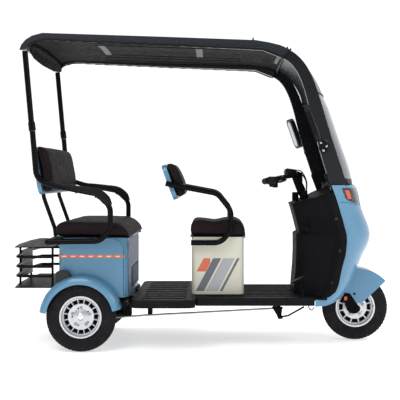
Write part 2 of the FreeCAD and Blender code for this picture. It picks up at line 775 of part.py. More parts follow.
def hinge_pins(name, front, overhang, top, spacing):
    """Two lugs on the box front, each holding a hinge pin."""
    axis = hinge_place(front, overhang, top)
    lugs = []
    for side in (1, -1):
        y = side * spacing
        pin = rod(f"{name}_pin_{side + 1}", axis + Vector(0, y - size.hinge_length / 2, 0),
                  axis + Vector(0, y + size.hinge_length / 2, 0), "Sizes.hinge_pin_diameter / 2")
        lugs.append(pin)
        for end in (-1, 1):
            inner = y + end * size.hinge_length / 2
            y0, y1 = sorted((inner, inner - end * 6))
            lugs.append(block(f"{name}_lug_{side + 1}_{end + 1}", Vector(front - 1, y0, axis.z - 5),
                              Vector(axis.x + 4, y1, axis.z + 4)))
    return lugs


def seat_board(name, front, overhang, top, x0, half, spacing):
    """Board under a cushion with two knuckles round the hinge pins."""
    axis = hinge_place(front, overhang, top)
    z0 = top + size.lid_gap
    board = block(name + "_plate", Vector(x0 + 8, -half + 8, z0), Vector(front + overhang - 4, half - 8,
                                                                        z0 + size.seat_board))
    parts = [board]
    bores = []
    for side in (1, -1):
        y = side * spacing
        a = axis + Vector(0, y - size.hinge_knuckle / 2, 0)
        b = axis + Vector(0, y + size.hinge_knuckle / 2, 0)
        parts.append(rod(f"{name}_barrel_{side + 1}", a, b, "Sizes.hinge_barrel_diameter / 2"))
        parts.append(block(f"{name}_neck_{side + 1}", Vector(axis.x - 3, a.y, axis.z), Vector(axis.x + 3, b.y, z0 + 1)))
        bores.append(rod(f"{name}_bore_{side + 1}", a - Vector(0, 5, 0), b + Vector(0, 5, 0),
                         "Sizes.hinge_pin_diameter / 2 + Sizes.running_fit"))
    keep(cut(name, fuse(name + "_solid", parts), fuse(name + "_bores", bores)), name)
    return z0 + size.seat_board + size.seat_gap


def bench_seat():
    x0 = rear_box_rear - 5
    x1 = size.rear_box_front + size.bench_overhang
    z0 = seat_board("bench_board", size.rear_box_front, size.bench_overhang, size.rear_box_top, x0,
                    size.bench_cushion_half_width, 230)
    cushion = rounded_block("bench_cushion", x0, -size.bench_cushion_half_width, x1, size.bench_cushion_half_width,
                            z0, "Sizes.bench_cushion_thickness", 40)
    soften(cushion, 22)
    keep(cushion, "bench_cushion")


def soften(body, radius):
    """Round the top edges of a cushion."""
    doc.recompute()
    pad = body.Tip
    top = max(edge.CenterOfMass.z for edge in pad.Shape.Edges)
    names = [f"Edge{i + 1}" for i, edge in enumerate(pad.Shape.Edges)
             if abs(edge.BoundBox.ZMin - top) < 0.01 and abs(edge.BoundBox.ZMax - top) < 0.01]
    fillet = body.newObject("PartDesign::Fillet", body.Name + "_soft")
    fillet.Base = (pad, names)
    fillet.Radius = radius
    body.Tip = fillet


def backrest(name, foot_x, foot_z, half, height, cushion, shell, lean):
    """Padded cushion in front of a moulded back shell, leaning back from its foot."""
    angle = -lean
    turn = Placement(Vector(foot_x, 0, foot_z), Rotation(Vector(0, 1, 0), angle))
    for label, x0, x1, inset in ((name + "_cushion", -cushion, 0, 3),
                                 (name + "_shell", -cushion - shell - size.seat_gap, -cushion - size.seat_gap, 0)):
        body, planes = new_body(label)
        face = sketch_on(body, planes["YZ_Plane"], label + "_face")
        rounded_outline(face, -half + inset, inset, half - inset, height - inset, 45)
        pad = body.newObject("PartDesign::Pad", label + "_pad")
        pad.Profile = face
        pad.Length = x1 - x0
        doc.recompute()
        body.Placement = turn.multiply(Placement(Vector(x0, 0, 0), Rotation()))
        keep(body, label)


def bench_back():
    backrest("bench_back", size.bench_back_foot_x, size.bench_back_bottom, size.bench_cushion_half_width,
             size.bench_back_height, size.bench_back_cushion, size.bench_back_shell, size.bench_back_lean)
    lean = math.radians(size.bench_back_lean)
    depth = size.bench_back_cushion + size.bench_back_shell + size.seat_gap
    posts = []
    for side, label in ((1, "left"), (-1, "right")):
        y = side * size.bench_post_offset
        r = size.bench_post_diameter / 2
        along = Vector(-math.sin(lean), 0, math.cos(lean))
        back = Vector(-math.cos(lean), 0, -math.sin(lean))
        top = Vector(size.bench_back_foot_x, y, size.bench_back_bottom) + back * (depth + r) + along * 120
        seat = Vector(cross_bar_x, y, cross_bar_z + size.pillar_tube_diameter / 2 + size.seat_gap)
        posts.append(tube("bench_post_" + label, [top, top - along * 140, seat + Vector(-5, 0, 42), seat],
                          "bench_post_diameter", 50))
    keep(group("bench_posts", posts), "bench_posts")


def armrests():
    """Bent tube each side: down from the pillar sleeve, forward under the pad, round and back."""
    frames = []
    for side, label in ((1, "left"), (-1, "right")):
        y = side * size.pillar_tube_offset
        corners = [(-883, 1150), (-862, 900), (-760, 868), (-540, 826), (-484, 760), (-484, 660), (-530, 586),
                   (cross_bar_x, cross_bar_z)]
        points = [Vector(x, y, z) for x, z in corners]
        bent = tube("armrest_tube_" + label, points, "pillar_tube_diameter", 70)
        feet = []
        for number, x in enumerate((-760, -600)):
            inner = side * size.rear_box_half_width
            feet.append(rod(f"armrest_foot_{label}_{number}", Vector(x, inner, 583), Vector(x, y, 583), "9"))
        frames.append(fuse("armrest_frame_" + label, [bent] + feet))
    reach = Vector(0, size.pillar_tube_offset, 0)
    middle = Vector(cross_bar_x, 0, cross_bar_z)
    frames.append(rod("armrest_cross_bar", middle - reach, middle + reach, "Sizes.pillar_tube_diameter / 2"))
    keep(fuse("armrest_frames", frames), "armrest_frames")
    pads = []
    for side, label in ((1, "left"), (-1, "right")):
        y = side * size.pillar_tube_offset
        half = size.armrest_pad_width / 2
        pad = block("armrest_pad_" + label, Vector(0, -half, 0), Vector(290, half, size.armrest_pad_thickness))
        lift = size.pillar_tube_diameter / 2 + size.seat_gap
        slope = math.atan2(868 - 826, 760 - 540)
        start = Vector(-745, y, 868 - 15 * math.tan(slope)) + Vector(math.sin(slope), 0, math.cos(slope)) * lift
        pad.Placement = Placement(start - Vector(0, half, 0), Rotation(Vector(0, 1, 0), math.degrees(slope)))
        pads.append(pad)
    keep(group("armrest_pads", pads), "armrest_pads")


def rear_pillars():
    """Upright tubes from the armrest frames to the roof, each with a clamp sleeve."""
    pillars = []
    for side, label in ((1, "left"), (-1, "right")):
        y = side * (size.pillar_tube_offset)
        points = [Vector(-883, y, 1151.4), Vector(-890, y, 1207), Vector(-922, y, 1560)]
        upper = tube("pillar_tube_" + label, points, "pillar_tube_diameter", 90)
        sleeve = rod("pillar_sleeve_" + label, Vector(-883, y, 1151.4), Vector(-888.5, y, 1195),
                     "Sizes.sleeve_diameter / 2")
        pillars.append(fuse("rear_pillar_" + label, [upper, sleeve]))
    keep(group("rear_pillars", pillars), "rear_pillars")


def driver_box():
    bottom = size.rear_floor_top + size.seat_gap
    half = size.driver_box_half_width
    wall = size.box_wall
    x0, x1 = size.driver_box_rear, size.driver_box_front
    outer = rounded_block("driver_box_outer", x0, -half, x1, half, bottom, f"Sizes.driver_box_top - {bottom}", 30)
    inner = rounded_block("driver_box_inner", x0 + wall, -half + wall, x1 - wall, half - wall, bottom + wall,
                          f"Sizes.driver_box_top - {bottom}", 30 - wall)
    shell = cut("driver_box_shell", outer, inner)
    lugs = hinge_pins("driver_box", x1, size.driver_overhang, size.driver_box_top, 110)
    keep(fuse("driver_box", [shell] + lugs), "driver_box")
    battery = doc.addObject("Part::Box", "battery")
    battery.setExpression("Length", "Sizes.battery_length")
    battery.setExpression("Width", "Sizes.battery_width")
    battery.setExpression("Height", "Sizes.battery_height")
    battery.Placement.Base = Vector((x0 + x1) / 2 - size.battery_length / 2, -size.battery_width / 2,
                                    bottom + wall + size.seat_gap)
    keep(battery, "battery")


def driver_seat():
    x0 = size.driver_box_rear - 16
    x1 = size.driver_box_front + size.driver_overhang
    half = size.driver_cushion_half_width
    z0 = seat_board("driver_board", size.driver_box_front, size.driver_overhang, size.driver_box_top, x0, half, 110)
    cushion = rounded_block("driver_cushion", x0, -half, x1, half, z0, "Sizes.driver_cushion_thickness", 50)
    soften(cushion, 36)
    keep(cushion, "driver_cushion")
    inner = size.driver_tube_offset - size.driver_tube_diameter / 2 - size.seat_gap
    backrest("driver_back", size.driver_back_foot_x, size.driver_back_bottom, inner, size.driver_back_height,
             size.driver_back_cushion, size.driver_back_shell, size.driver_back_lean)


def driver_seat_frame():
    """Side hoops that carry the driver's backrest and armrests, bolted to the box."""
    sides = []
    corners = [(-213, 881), (-180, 872), (66, 826), (138, 735), (138, 628), (84, 561), (-77, 561)]
    for side, label in ((1, "left"), (-1, "right")):
        y = side * size.driver_tube_offset
        hoop = tube("seat_hoop_" + label, [Vector(x, y, z) for x, z in corners], "driver_tube_diameter", 75)
        feet = [rod(f"seat_foot_{label}_{x + 90}", Vector(x, side * size.driver_box_half_width, 561),
                    Vector(x, y, 561), "9") for x in (-50, 40)]
        sides.append(fuse("seat_side_" + label, [hoop] + feet))
    keep(group("driver_seat_frame", sides), "driver_seat_frame")


def rear_fender(side, label):
    """Mudguard shell round the rear wheel with a turned-down outer lip."""
    r = size.rear_fender_radius
    wall = size.fender_wall
    y_in = size.rear_box_half_width + size.seat_gap
    y_out = size.rear_fender_half_width
    lip = size.rear_fender_lip_radius
    section = [(r, y_in), (r, y_out - 26), (r - 9, y_out - 8), (r - 22, y_out), (lip, y_out), (lip, y_out - wall),
               (r - 23, y_out - wall), (r - 13, y_out - 11), (r - wall, y_out - 27), (r - wall, y_in)]
    wire = polygon([Vector(a, side * b, 0) for a, b in section])
    start, end = 12, 172
    shell = Part.Face(wire).revolve(Vector(), Vector(0, -1, 0), end - start)
    thing = feature("rear_fender_" + label, shell)
    thing.Placement = Placement(Vector(rear_x, 0, wheel_z), Rotation(Vector(0, -1, 0), start))
    return thing


def tail_lamps():
    """Lamp block on top of each rear fender, cut to the fender's arc."""
    side_view = [(-128, 366), (-128, 413), (-118, 424), (-75, 424), (-49, 387), (-86, 366)]
    lamps = []
    for side, label in ((1, "left"), (-1, "right")):
        y0, y1 = sorted((side * (size.rear_box_half_width + 0.5), side * (size.rear_box_half_width + 62)))
        face = Part.Face(polygon([Vector(rear_x + x, y0, z) for x, z in side_view]))
        box = feature("tail_lamp_" + label, face.extrude(Vector(0, y1 - y0, 0)))
        arch = rod("tail_lamp_cut_" + label, Vector(rear_x, y0 - 10, wheel_z), Vector(rear_x, y1 + 10, wheel_z),
                   "Sizes.rear_fender_radius + Sizes.seat_gap")
        lamps.append(cut("tail_lamp_trim_" + label, box, arch))
    keep(group("tail_lamps", lamps), "tail_lamps")


def basket_plate(name, front, z):
    """Flat plate with the basket's plan: straight sides and a rear edge bowed outwards."""
    half = size.basket_half_width + size.basket_wire / 2
    rear = -overall_length / 2
    corner_x = rear + size.basket_bulge
    plan = [(front, half), (corner_x, half), (rear, 0.45 * half), (rear, -0.45 * half), (corner_x, -half),
            (front, -half)]
    face = Part.Face(polygon([Vector(x, y, z) for x, y in plan]))
    return feature(name, face.extrude(Vector(0, 0, size.basket_plate)))


def basket():
    """Rear carrier: slotted top plate and bottom plate with rings of rod round the sides."""
    half = size.basket_half_width
    rear = -overall_length / 2
    r = size.basket_wire / 2
    post_r = size.basket_post / 2
    corner_x = rear + size.basket_bulge
    low, top = size.basket_bottom, size.basket_top - size.basket_plate
    plates = [basket_plate("basket_top_plate", size.basket_front, top),
              basket_plate("basket_low_plate", size.basket_front - 8, low),
              block("basket_tongue", Vector(size.basket_front - 20, -size.basket_half_width, low),
                    Vector(rear_box_rear - size.seat_gap, size.basket_half_width, low + size.basket_plate))]
    for number, z in enumerate((493, 442, 392)):
        loop = [Vector(size.basket_front - post_r, half, z), Vector(corner_x + r, half, z),
                Vector(rear + r + 0.5, 0.45 * half, z), Vector(rear + r + 0.5, -0.45 * half, z),
                Vector(corner_x + r, -half, z), Vector(size.basket_front - post_r, -half, z)]
        plates.append(tube(f"basket_ring_{number}", loop, "basket_wire", 40))
    posts = [(size.basket_front - post_r, half - 3), (size.basket_front - post_r, 3 - half),
             (rear + post_r + 0.5, size.plate_panel_width / 2 - 1), (rear + post_r + 0.5, 1 - size.plate_panel_width / 2)]
    for number, (x, y) in enumerate(posts):
        plates.append(rod(f"basket_post_{number}", Vector(x, y, low + 1), Vector(x, y, top + 2),
                          "Sizes.basket_post / 2"))
    for side in (1, -1):
        plates.append(block(f"basket_hook_{side + 1}", Vector(size.basket_front - 10, side * 150 - 14, top),
                            Vector(rear_box_rear - size.seat_gap, side * 150 + 14, size.basket_top)))
    count = int(size.basket_slots)
    pitch = 2 * (half - 20) / count
    slots = [block(f"basket_slot_{number}", Vector(rear + 40, (number - (count - 1) / 2) * pitch - 9, top - 5),
                   Vector(size.basket_front - 24, (number - (count - 1) / 2) * pitch + 9, top + 15))
             for number in range(count)]
    keep(cut("basket", fuse("basket_solid", plates), group("basket_slots_cut", slots)), "basket")
    middle = (size.basket_top + low) / 2
    face = rear + 2 * post_r + 0.5 + size.seat_gap
    width, height = size.plate_panel_width, size.plate_panel_height
    panel = block("plate_solid", Vector(face, -width / 2, middle - height / 2),
                  Vector(face + 3, width / 2, middle + height / 2))
    holes = [rod(f"plate_hole_{side + 1}", Vector(face - 5, side * size.plate_bolt_spacing / 2, middle + 45),
                 Vector(face + 8, side * size.plate_bolt_spacing / 2, middle + 45), "Sizes.plate_bolt_hole / 2")
             for side in (1, -1)]
    keep(cut("plate_panel", panel, group("plate_holes", holes)), "plate_panel")


# cowl, shield, screen

# height, nose x on the middle plane, sweep back of the front face, half width, squareness of the corner
shield_levels = [(226, 712, 30, 283, 3), (262, 765, 30, 284, 3), (330, 812, 35, 285, 3), (412, 846, 40, 288, 3.2),
                 (500, 880, 47, 292, 3.6), (604, 914, 55, 300, 4), (690, 888, 60, 312, 5), (780, 858, 67, 330, 6.6),
                 (872, 826, 72, 351, 9)]
shield_back = 540
lamp_outline = [(714, 857), (950, 857), (950, 745), (850, 753), (790, 778), (748, 793), (736, 806)]
cowl_border = [(577, 263), (620, 266), (662, 279), (694, 305), (710, 343), (725, 423), (746, 502), (752, 572),
               (750, 609), (727, 688), (692, 794), (659, 873)]


def nose_section(z, nose, sweep, half, power, inset):
    """Closed plan section of the nose: swept front face, rounded corners, straight sides and back."""
    points = []
    steps = 14
    width = half - inset
    for step in range(steps + 1):
        share = -math.cos(math.pi * step / steps)
        reach = nose - inset - shield_back - sweep * share ** 2
        x = shield_back + reach * (1 - abs(share) ** power) ** (1 / power)
        points.append(Vector(x, width * share, z))
    curve = Part.BSplineCurve()
    curve.interpolate(points)
    return Part.Wire([curve.toShape(), Part.LineSegment(points[-1], points[0]).toShape()])


def nose_solid(inset, extra):
    """Loft through the nose sections, set inwards by inset and longer by extra at both ends."""
    sections = []
    for number, (z, nose, sweep, half, power) in enumerate(shield_levels):
        shift = -extra if number == 0 else extra if number == len(shield_levels) - 1 else 0
        sections.append(nose_section(z + shift, nose, sweep, half, power, inset))
    return Part.makeLoft(sections, True)


def lamp_prism(side, inset):
    """Prism of a headlamp's outline in side view, set inwards by inset."""
    face = Part.Face(polygon([Vector(x, 0, z) for x, z in lamp_outline]))
    if inset:
        face = face.makeOffset2D(-inset)
    prism = face.extrude(Vector(0, side * (200 - 2 * inset), 0))
    prism.translate(Vector(0, side * (200 + inset), 0))
    return prism


def front_shield():
    """Moulded nose: lofted shell cut back to the cowl's border, with the wheel arch and lamp windows."""
    wall = size.panel_wall
    shell = nose_solid(0, 0).cut(nose_solid(wall, 1))
    edge = size.front_floor_end + 1.5
    behind = [(400, 190), (edge, 190)] + [(x if z > 280 else max(x, edge), z) for x, z in cowl_border]
    behind += [(640, 900), (400, 900)]
    keep_out = Part.Face(polygon([Vector(x, -500, z) for x, z in behind])).extrude(Vector(0, 1000, 0))
    shell = shell.cut(keep_out)
    arch = size.shield_arch_half_width
    shell = shell.cut(Part.makeBox(500, 2 * arch, size.shield_arch_top - 150, Vector(560, -arch, 150)))
    gap = size.seat_gap
    windows = [lamp_prism(side, 0) for side in (1, -1)]
    inside = [lamp_prism(side, gap) for side in (1, -1)]
    lens = nose_solid(1, 0).cut(nose_solid(1 + wall, 1))
    bowl = nose_solid(1.3 + wall, 0).cut(nose_solid(30, 1))
    lenses = Part.makeCompound([lens.common(prism) for prism in inside])
    bowls = Part.makeCompound([bowl.common(prism) for prism in inside])
    bowls = bowls.cut(Part.makeBox(400, 800, 40, Vector(500, -400, 846)))
    shell = shell.cut(Part.makeCompound(windows))
    keep(feature("front_shield", shell), "front_shield")
    keep(feature("headlamps", Part.makeCompound(lenses.Solids)), "headlamps")
    keep(feature("lamp_housings", Part.makeCompound(bowls.Solids)), "lamp_housings")


# height, x of the rear face, half width of the rear face
cowl_levels = [(274, 485, 112), (313, 487, 112), (462, 500, 112), (600, 500, 112), (608, 518, 114), (640, 512, 114),
               (768, 476, 114), (900, 440, 114)]
# x, height and half width along the top of the cowl
dash_line = [(474, 762, 118), (530, 782, 200), (600, 806, 262), (640, 823, 306), (752, 868, 342)]


def between(table, key, column, at):
    """Value of a column of a table at a place between its rows."""
    rows = sorted(table, key=lambda row: row[key])
    for low, high in zip(rows, rows[1:]):
        if low[key] <= at <= high[key]:
            share = (at - low[key]) / (high[key] - low[key])
            return low[column] + (high[column] - low[column]) * share
    return rows[0][column] if at < rows[0][key] else rows[-1][column]


def cowl_section(z, inset, forward):
    """Plan section of the cowl: flat rear face, bevelled corners and flared cheeks."""
    rear = between(cowl_levels, 0, 1, z)
    half = between(cowl_levels, 0, 2, z)
    edge = between(cowl_border, 1, 0, z) - 1.5 + forward
    wide = between(shield_levels, 0, 3, z) - inset
    shelf = max(edge - forward - 62, rear + 52)
    side = [(edge, wide), (max(edge - forward - 32, rear + 56) + inset, wide - 7 - inset * 0.4),
            (shelf + inset, max(wide - 46, 200) - inset * 0.6),
            (rear + 40 + inset * 0.8, 168 - inset * 0.6), (rear + 14 + inset * 0.8, 126 - inset * 0.4),
            (rear + inset, half - inset * 0.4)]
    points = [Vector(x, y, z) for x, y in side] + [Vector(x, -y, z) for x, y in reversed(side)]
    return polygon(points)


def inner_cowl():
    """Leg shield facing the driver, a moulded channel open to the nose, cut to the slope of its top."""
    wall = size.panel_wall
    heights = sorted({276.3, 600, 608, 900}.union(z for x, z in cowl_border if z > 277))
    outer = Part.makeLoft([cowl_section(z, 0, 0) for z in heights], True, True)
    heights[0], heights[-1] = heights[0] - 1, heights[-1] + 1
    inner = Part.makeLoft([cowl_section(z, wall, 30) for z in heights], True, True)
    above = [(400, dash_line[0][1])] + [(x, z) for x, z, half in dash_line] + [(900, 868), (900, 1000), (400, 1000)]
    top = Part.Face(polygon([Vector(x, -500, z) for x, z in above])).extrude(Vector(0, 1000, 0))
    keep(feature("inner_cowl", outer.cut(inner).cut(top)), "inner_cowl")


def dash_panel():
    """Top of the cowl up to the screen, with a hole for the stem, and the black base under the screen."""
    wall = 5
    gap = size.seat_gap
    sections = [polygon([Vector(x, -w, z + gap), Vector(x, w, z + gap), Vector(x, w, z + wall), Vector(x, -w, z + wall)])
                for x, z, w in dash_line]
    panel = Part.makeLoft(sections, True, True)
    base = bowed_panel([(690, 873, 822, 873, 345), (736, 907, 813, 907, 346)], 80)
    hole = steer_point(790)
    bore = Part.makeCylinder(size.stem_diameter / 2 + 8, 260, hole + steer_down * 130, -steer_down)
    within = nose_solid(size.panel_wall + gap, 1).fuse(Part.makeBox(144, 800, 160, Vector(400, -400, 740)))
    keep(feature("dash_panel", panel.common(within).cut(base).cut(bore)), "dash_panel")
    return base


# rear edge x and z, front edge x and z, outer half width
pillar_stations = [(404, 1527.1, 440, 1570.1, 402), (474, 1464, 531, 1480, 398), (517, 1364, 579, 1372, 393),
                   (550, 1240, 618, 1250, 383), (585, 1100, 663, 1108, 368), (620, 985, 703, 993, 353),
                   (660, 846.2, 741, 870.2, 335)]


def front_pillars(base):
    """Moulded screen posts lofted from the roof's fascia down to the cowl."""
    depth = size.pillar_depth
    posts = []
    for side, label in ((1, "left"), (-1, "right")):
        sections = [polygon([Vector(x0, side * y, z0), Vector(x1, side * y, z1), Vector(x1, side * (y - depth), z1),
                             Vector(x0, side * (y - depth), z0)]) for x0, z0, x1, z1, y in pillar_stations]
        post = clear_of(Part.makeLoft(sections, True), doc.getObject("front_shield").Shape, size.seat_gap)
        posts.append(feature("front_pillar_" + label, post))
        base = clear_of(base, post, size.seat_gap)
    keep(group("front_pillars", posts), "front_pillars")
    keep(feature("screen_base", base), "screen_base")


def bowed_section(x, z, middle_x, middle_z, half, back):
    """Closed section of a bowed panel's front: arc through both edges and the middle, straight behind."""
    a, m, b = Vector(x - back, -half, z), Vector(middle_x - back, 0, middle_z), Vector(x - back, half, z)
    return Part.Wire([Part.Arc(a, m, b).toShape(), Part.LineSegment(b, a).toShape()])


def bowed_panel(stations, wall):
    """Panel bowed forward between the screen posts; each station is edge x, z, middle x, z, half width."""
    gap = size.pillar_depth + size.screen_gap
    solids = [Part.makeLoft([bowed_section(x, z, mx, mz, half - gap, back) for x, z, mx, mz, half in stations], True)
              for back in (0, wall)]
    return solids[0].cut(solids[1])


def screen_and_visor():
    screen = [(585, 1350, 655, 1350, 391), (618, 1240, 704, 1240, 383), (663, 1100, 752, 1100, 368),
              (703, 985, 794, 985, 353), (736, 908, 812, 908, 346)]
    doc.recompute()
    posts = doc.getObject("front_pillars").Shape
    glass = clear_of(bowed_panel(screen, size.screen_wall), posts, size.seat_gap)
    keep(feature("windscreen", glass), "windscreen")
    visor = [(434, 1562, 437, 1585, 401), (500, 1518, 538, 1518, 399), (543, 1462, 594, 1462, 397),
             (583, 1356, 652, 1356, 392)]
    brow = clear_of(bowed_panel(visor, 8), posts, size.seat_gap)
    brow = clear_of(brow, doc.getObject("roof_shell").Shape, size.seat_gap)
    keep(feature("roof_visor", brow), "roof_visor")


# side outline of the canopy at its edge: along the top from the rear, then back along the bottom
roof_top = [(-949, 1566), (-940, 1592), (-918, 1618), (-885, 1639), (-831, 1653), (263, 1618), (330, 1607),
            (389, 1593), (441, 1570)]
roof_low = [(402, 1524), (299, 1565), (-823, 1617), (-883, 1600), (-923, 1566)]


def roof_profile(y, top, low):
    """Side section of the roof at distance y from the middle, raised by the crown."""
    lift = size.roof_crown * (1 - (y / (size.roof_half_width_rear + 4)) ** 2)
    return polygon([Vector(x, y, z + lift) for x, z in top + low])


def roof_loft(top, low):
    half = size.roof_half_width_rear + 4
    shares = (-1, -0.6, 0, 0.6, 1)
    return Part.makeLoft([roof_profile(share * half, top, low) for share in shares], True, True)


def lowered(points, drop):
    return [(x, z - drop) for x, z in points]


def roof_plan(inset, rear_extra):
    """Upright prism of the roof's plan, tapered forward, set inwards by inset."""
    back, front = size.roof_half_width_rear - inset, size.roof_half_width_front - inset
    x0, x1 = roof_top[0][0] + inset + rear_extra, roof_top[-1][0] + 1 - inset
    corners = [(x0, back), (-200, back), (x1, front), (x1, -front), (-200, -back), (x0, -back)]
    return Part.Face(polygon([Vector(x, y, 1400) for x, y in corners])).extrude(Vector(0, 0, 400))


def roof():
    """Canopy shell: crowned skin with a deep fascia round it, and a liner inside."""
    rim = size.roof_rim
    solid = roof_loft(roof_top, roof_low).common(roof_plan(-1, 0))
    skin = lowered(roof_top, size.roof_skin)
    hollow = roof_loft(skin, lowered(skin[::-1], 160)).common(roof_plan(rim, 24))
    keep(feature("roof_shell", solid.cut(hollow)), "roof_shell")
    face = lowered(roof_top, size.liner_drop)
    liner = roof_loft(face, lowered(face[::-1], size.liner_thickness))
    keep(feature("roof_liner", liner.common(roof_plan(rim + size.seat_gap, 34))), "roof_liner")


def mirrors():
    """Door mirrors on short arms from the screen posts."""
    pair = []
    for side, label in ((1, "left"), (-1, "right")):
        y = side * size.mirror_offset
        body, planes = new_body("mirror_head_" + label)
        face = sketch_on(body, planes["YZ_Plane"], "mirror_face_" + label)
        half = size.mirror_width / 2
        rounded_outline(face, -half, -size.mirror_height / 2, half, size.mirror_height / 2, 38)
        pad = body.newObject("PartDesign::Pad", "mirror_pad_" + label)
        pad.Profile = face
        pad.setExpression("Length", "Sizes.mirror_thickness")
        turn = Rotation(Vector(0, 0, 1), side * size.mirror_toe).multiply(Rotation(Vector(0, 1, 0), -20))
        body.Placement = Placement(Vector(535, y, 1182), turn)
        post = Vector(628, side * 369.6, 1108)
        elbow = Vector(618, side * (size.mirror_offset - 20), 1096)
        head = Vector(574, y, 1130)
        arm = tube("mirror_arm_" + label, [post, elbow, head], "mirror_arm", 24)
        pair.append(fuse("mirror_" + label, [body, arm]))
    keep(group("mirrors", pair), "mirrors")


def pedals():
    """Foot brake beside the cowl: pad on a lever with its foot on the floor, and the rod back to the axle."""
    y = -size.front_floor_half_width + 7
    low = floor_top + size.seat_gap
    foot = block("pedal_foot", Vector(508, y - 6, low), Vector(536, y + 6, low + 8))
    lever = tube("pedal_lever", [Vector(522, y, low + 7), Vector(510, y, low + 62), Vector(496, y, low + 98)],
                 "pedal_rod", 20)
    pad = block("pedal_pad", Vector(-38, -26, -5), Vector(38, 14, 5))
    pad.Placement = Placement(Vector(496, y - 6, low + 99), Rotation(Vector(0, 1, 0), -24)).multiply(pad.Placement)
    keep(fuse("brake_pedal", [foot, lever, pad]), "brake_pedal")
    rod_y = -size.rail_offset - size.rail_width / 2 - 14
    keep(tube("brake_rod", [Vector(420, rod_y, brake_rod_height(420)), Vector(-330, rod_y, brake_rod_height(-330)),
                            Vector(rear_x + 110, rod_y, 150)],
              "brake_rod_diameter", 200), "brake_rod")


for side, label in ((1, "left"), (-1, "right")):
    rear_wheel(side, label)
front_wheel()
rear_axle()
trailing_arms()
shock_absorbers()
chassis_frame()
steering_fork()
handlebar()
front_fender()
floor_tray("rear_floor", rear_floor_rear, size.floor_split_x, size.rear_floor_half_width, size.rear_floor_top,
           size.floor_corner, "floor_ribs")
floor_tray("front_floor", size.floor_split_x + 0.5, size.front_floor_end, size.front_floor_half_width,
           size.front_floor_top, 12, "floor_ribs")
rear_box()
bench_seat()
bench_back()
armrests()
rear_pillars()
driver_box()
driver_seat()
driver_seat_frame()
keep(group("rear_fenders", [rear_fender(1, "left"), rear_fender(-1, "right")]), "rear_fenders")
tail_lamps()
basket()
front_shield()
inner_cowl()
front_pillars(dash_panel())
roof()
screen_and_visor()
mirrors()
pedals()

doc.recompute()
failed = [thing.Name for thing in doc.Objects if "Invalid" in thing.State or "Error" in thing.State]
for thing in sub_parts:
    if thing.Shape.isNull() or not thing.Shape.isValid() or not thing.Shape.Solids:
        failed.append(thing.Label)
if failed:
    raise RuntimeError("failed: " + ", ".join(failed))
for thing in sub_parts:
    thing.Shape.exportStep(f"parts/{thing.Label}.step")
    box = thing.Shape.BoundBox
    print(f"{thing.Label:22s} {len(thing.Shape.Solids)} {thing.Shape.Volume / 1e6:8.3f} "
          f"x {box.XMin:.0f} {box.XMax:.0f} y {box.YMin:.0f} {box.YMax:.0f} z {box.ZMin:.0f} {box.ZMax:.0f}")
print(len(sub_parts), "sub-parts")
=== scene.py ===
import json
import math
import bpy
import bmesh
import numpy as np
from mathutils import Matrix, Vector, noise
from mathutils.bvhtree import BVHTree

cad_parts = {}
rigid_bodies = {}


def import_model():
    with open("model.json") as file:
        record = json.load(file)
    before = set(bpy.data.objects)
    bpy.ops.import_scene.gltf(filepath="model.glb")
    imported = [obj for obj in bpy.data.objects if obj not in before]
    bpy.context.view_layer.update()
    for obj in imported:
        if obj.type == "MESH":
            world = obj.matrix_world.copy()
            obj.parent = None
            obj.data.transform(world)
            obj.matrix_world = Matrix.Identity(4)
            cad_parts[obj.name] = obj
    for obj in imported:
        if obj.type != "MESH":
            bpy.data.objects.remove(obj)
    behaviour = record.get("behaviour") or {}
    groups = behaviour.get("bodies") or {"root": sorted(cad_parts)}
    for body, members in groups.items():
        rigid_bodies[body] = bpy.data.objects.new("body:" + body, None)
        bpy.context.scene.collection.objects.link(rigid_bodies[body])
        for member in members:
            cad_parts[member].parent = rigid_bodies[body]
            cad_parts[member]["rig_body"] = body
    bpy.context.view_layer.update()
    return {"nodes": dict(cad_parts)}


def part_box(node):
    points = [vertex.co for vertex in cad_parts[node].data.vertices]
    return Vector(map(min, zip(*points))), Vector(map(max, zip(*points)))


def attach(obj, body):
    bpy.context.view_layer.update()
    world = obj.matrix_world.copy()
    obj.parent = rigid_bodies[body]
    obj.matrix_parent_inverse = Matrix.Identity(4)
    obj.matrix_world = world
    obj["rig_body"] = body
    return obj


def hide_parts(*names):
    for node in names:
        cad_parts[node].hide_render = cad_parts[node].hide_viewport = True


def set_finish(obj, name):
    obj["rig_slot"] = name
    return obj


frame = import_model()
mm = 0.001
scene = bpy.context.scene
looks = {}
lookSlots = {}
rightLeft = ((-1, "Right"), (1, "Left"))
leftRight = ((1, "Left"), (-1, "Right"))


def srgb(r, g, b):
    # display values 0 to 255 to linear: c / 12.92 when dark, else ((c + 0.055) / 1.055)^2.4
    out = []
    for c in (r / 255, g / 255, b / 255):
        out.append(c / 12.92 if c <= 0.04045 else ((c + 0.055) / 1.055) ** 2.4)
    return out


def added(tree, kind, source, socket, **values):
    # shader node with its values set and one socket fed by source
    node = tree.nodes.new("ShaderNode" + kind)
    for key, value in values.items():
        node.inputs[key.replace("_", " ")].default_value = value
    tree.links.new(source, node.inputs[socket])
    return node


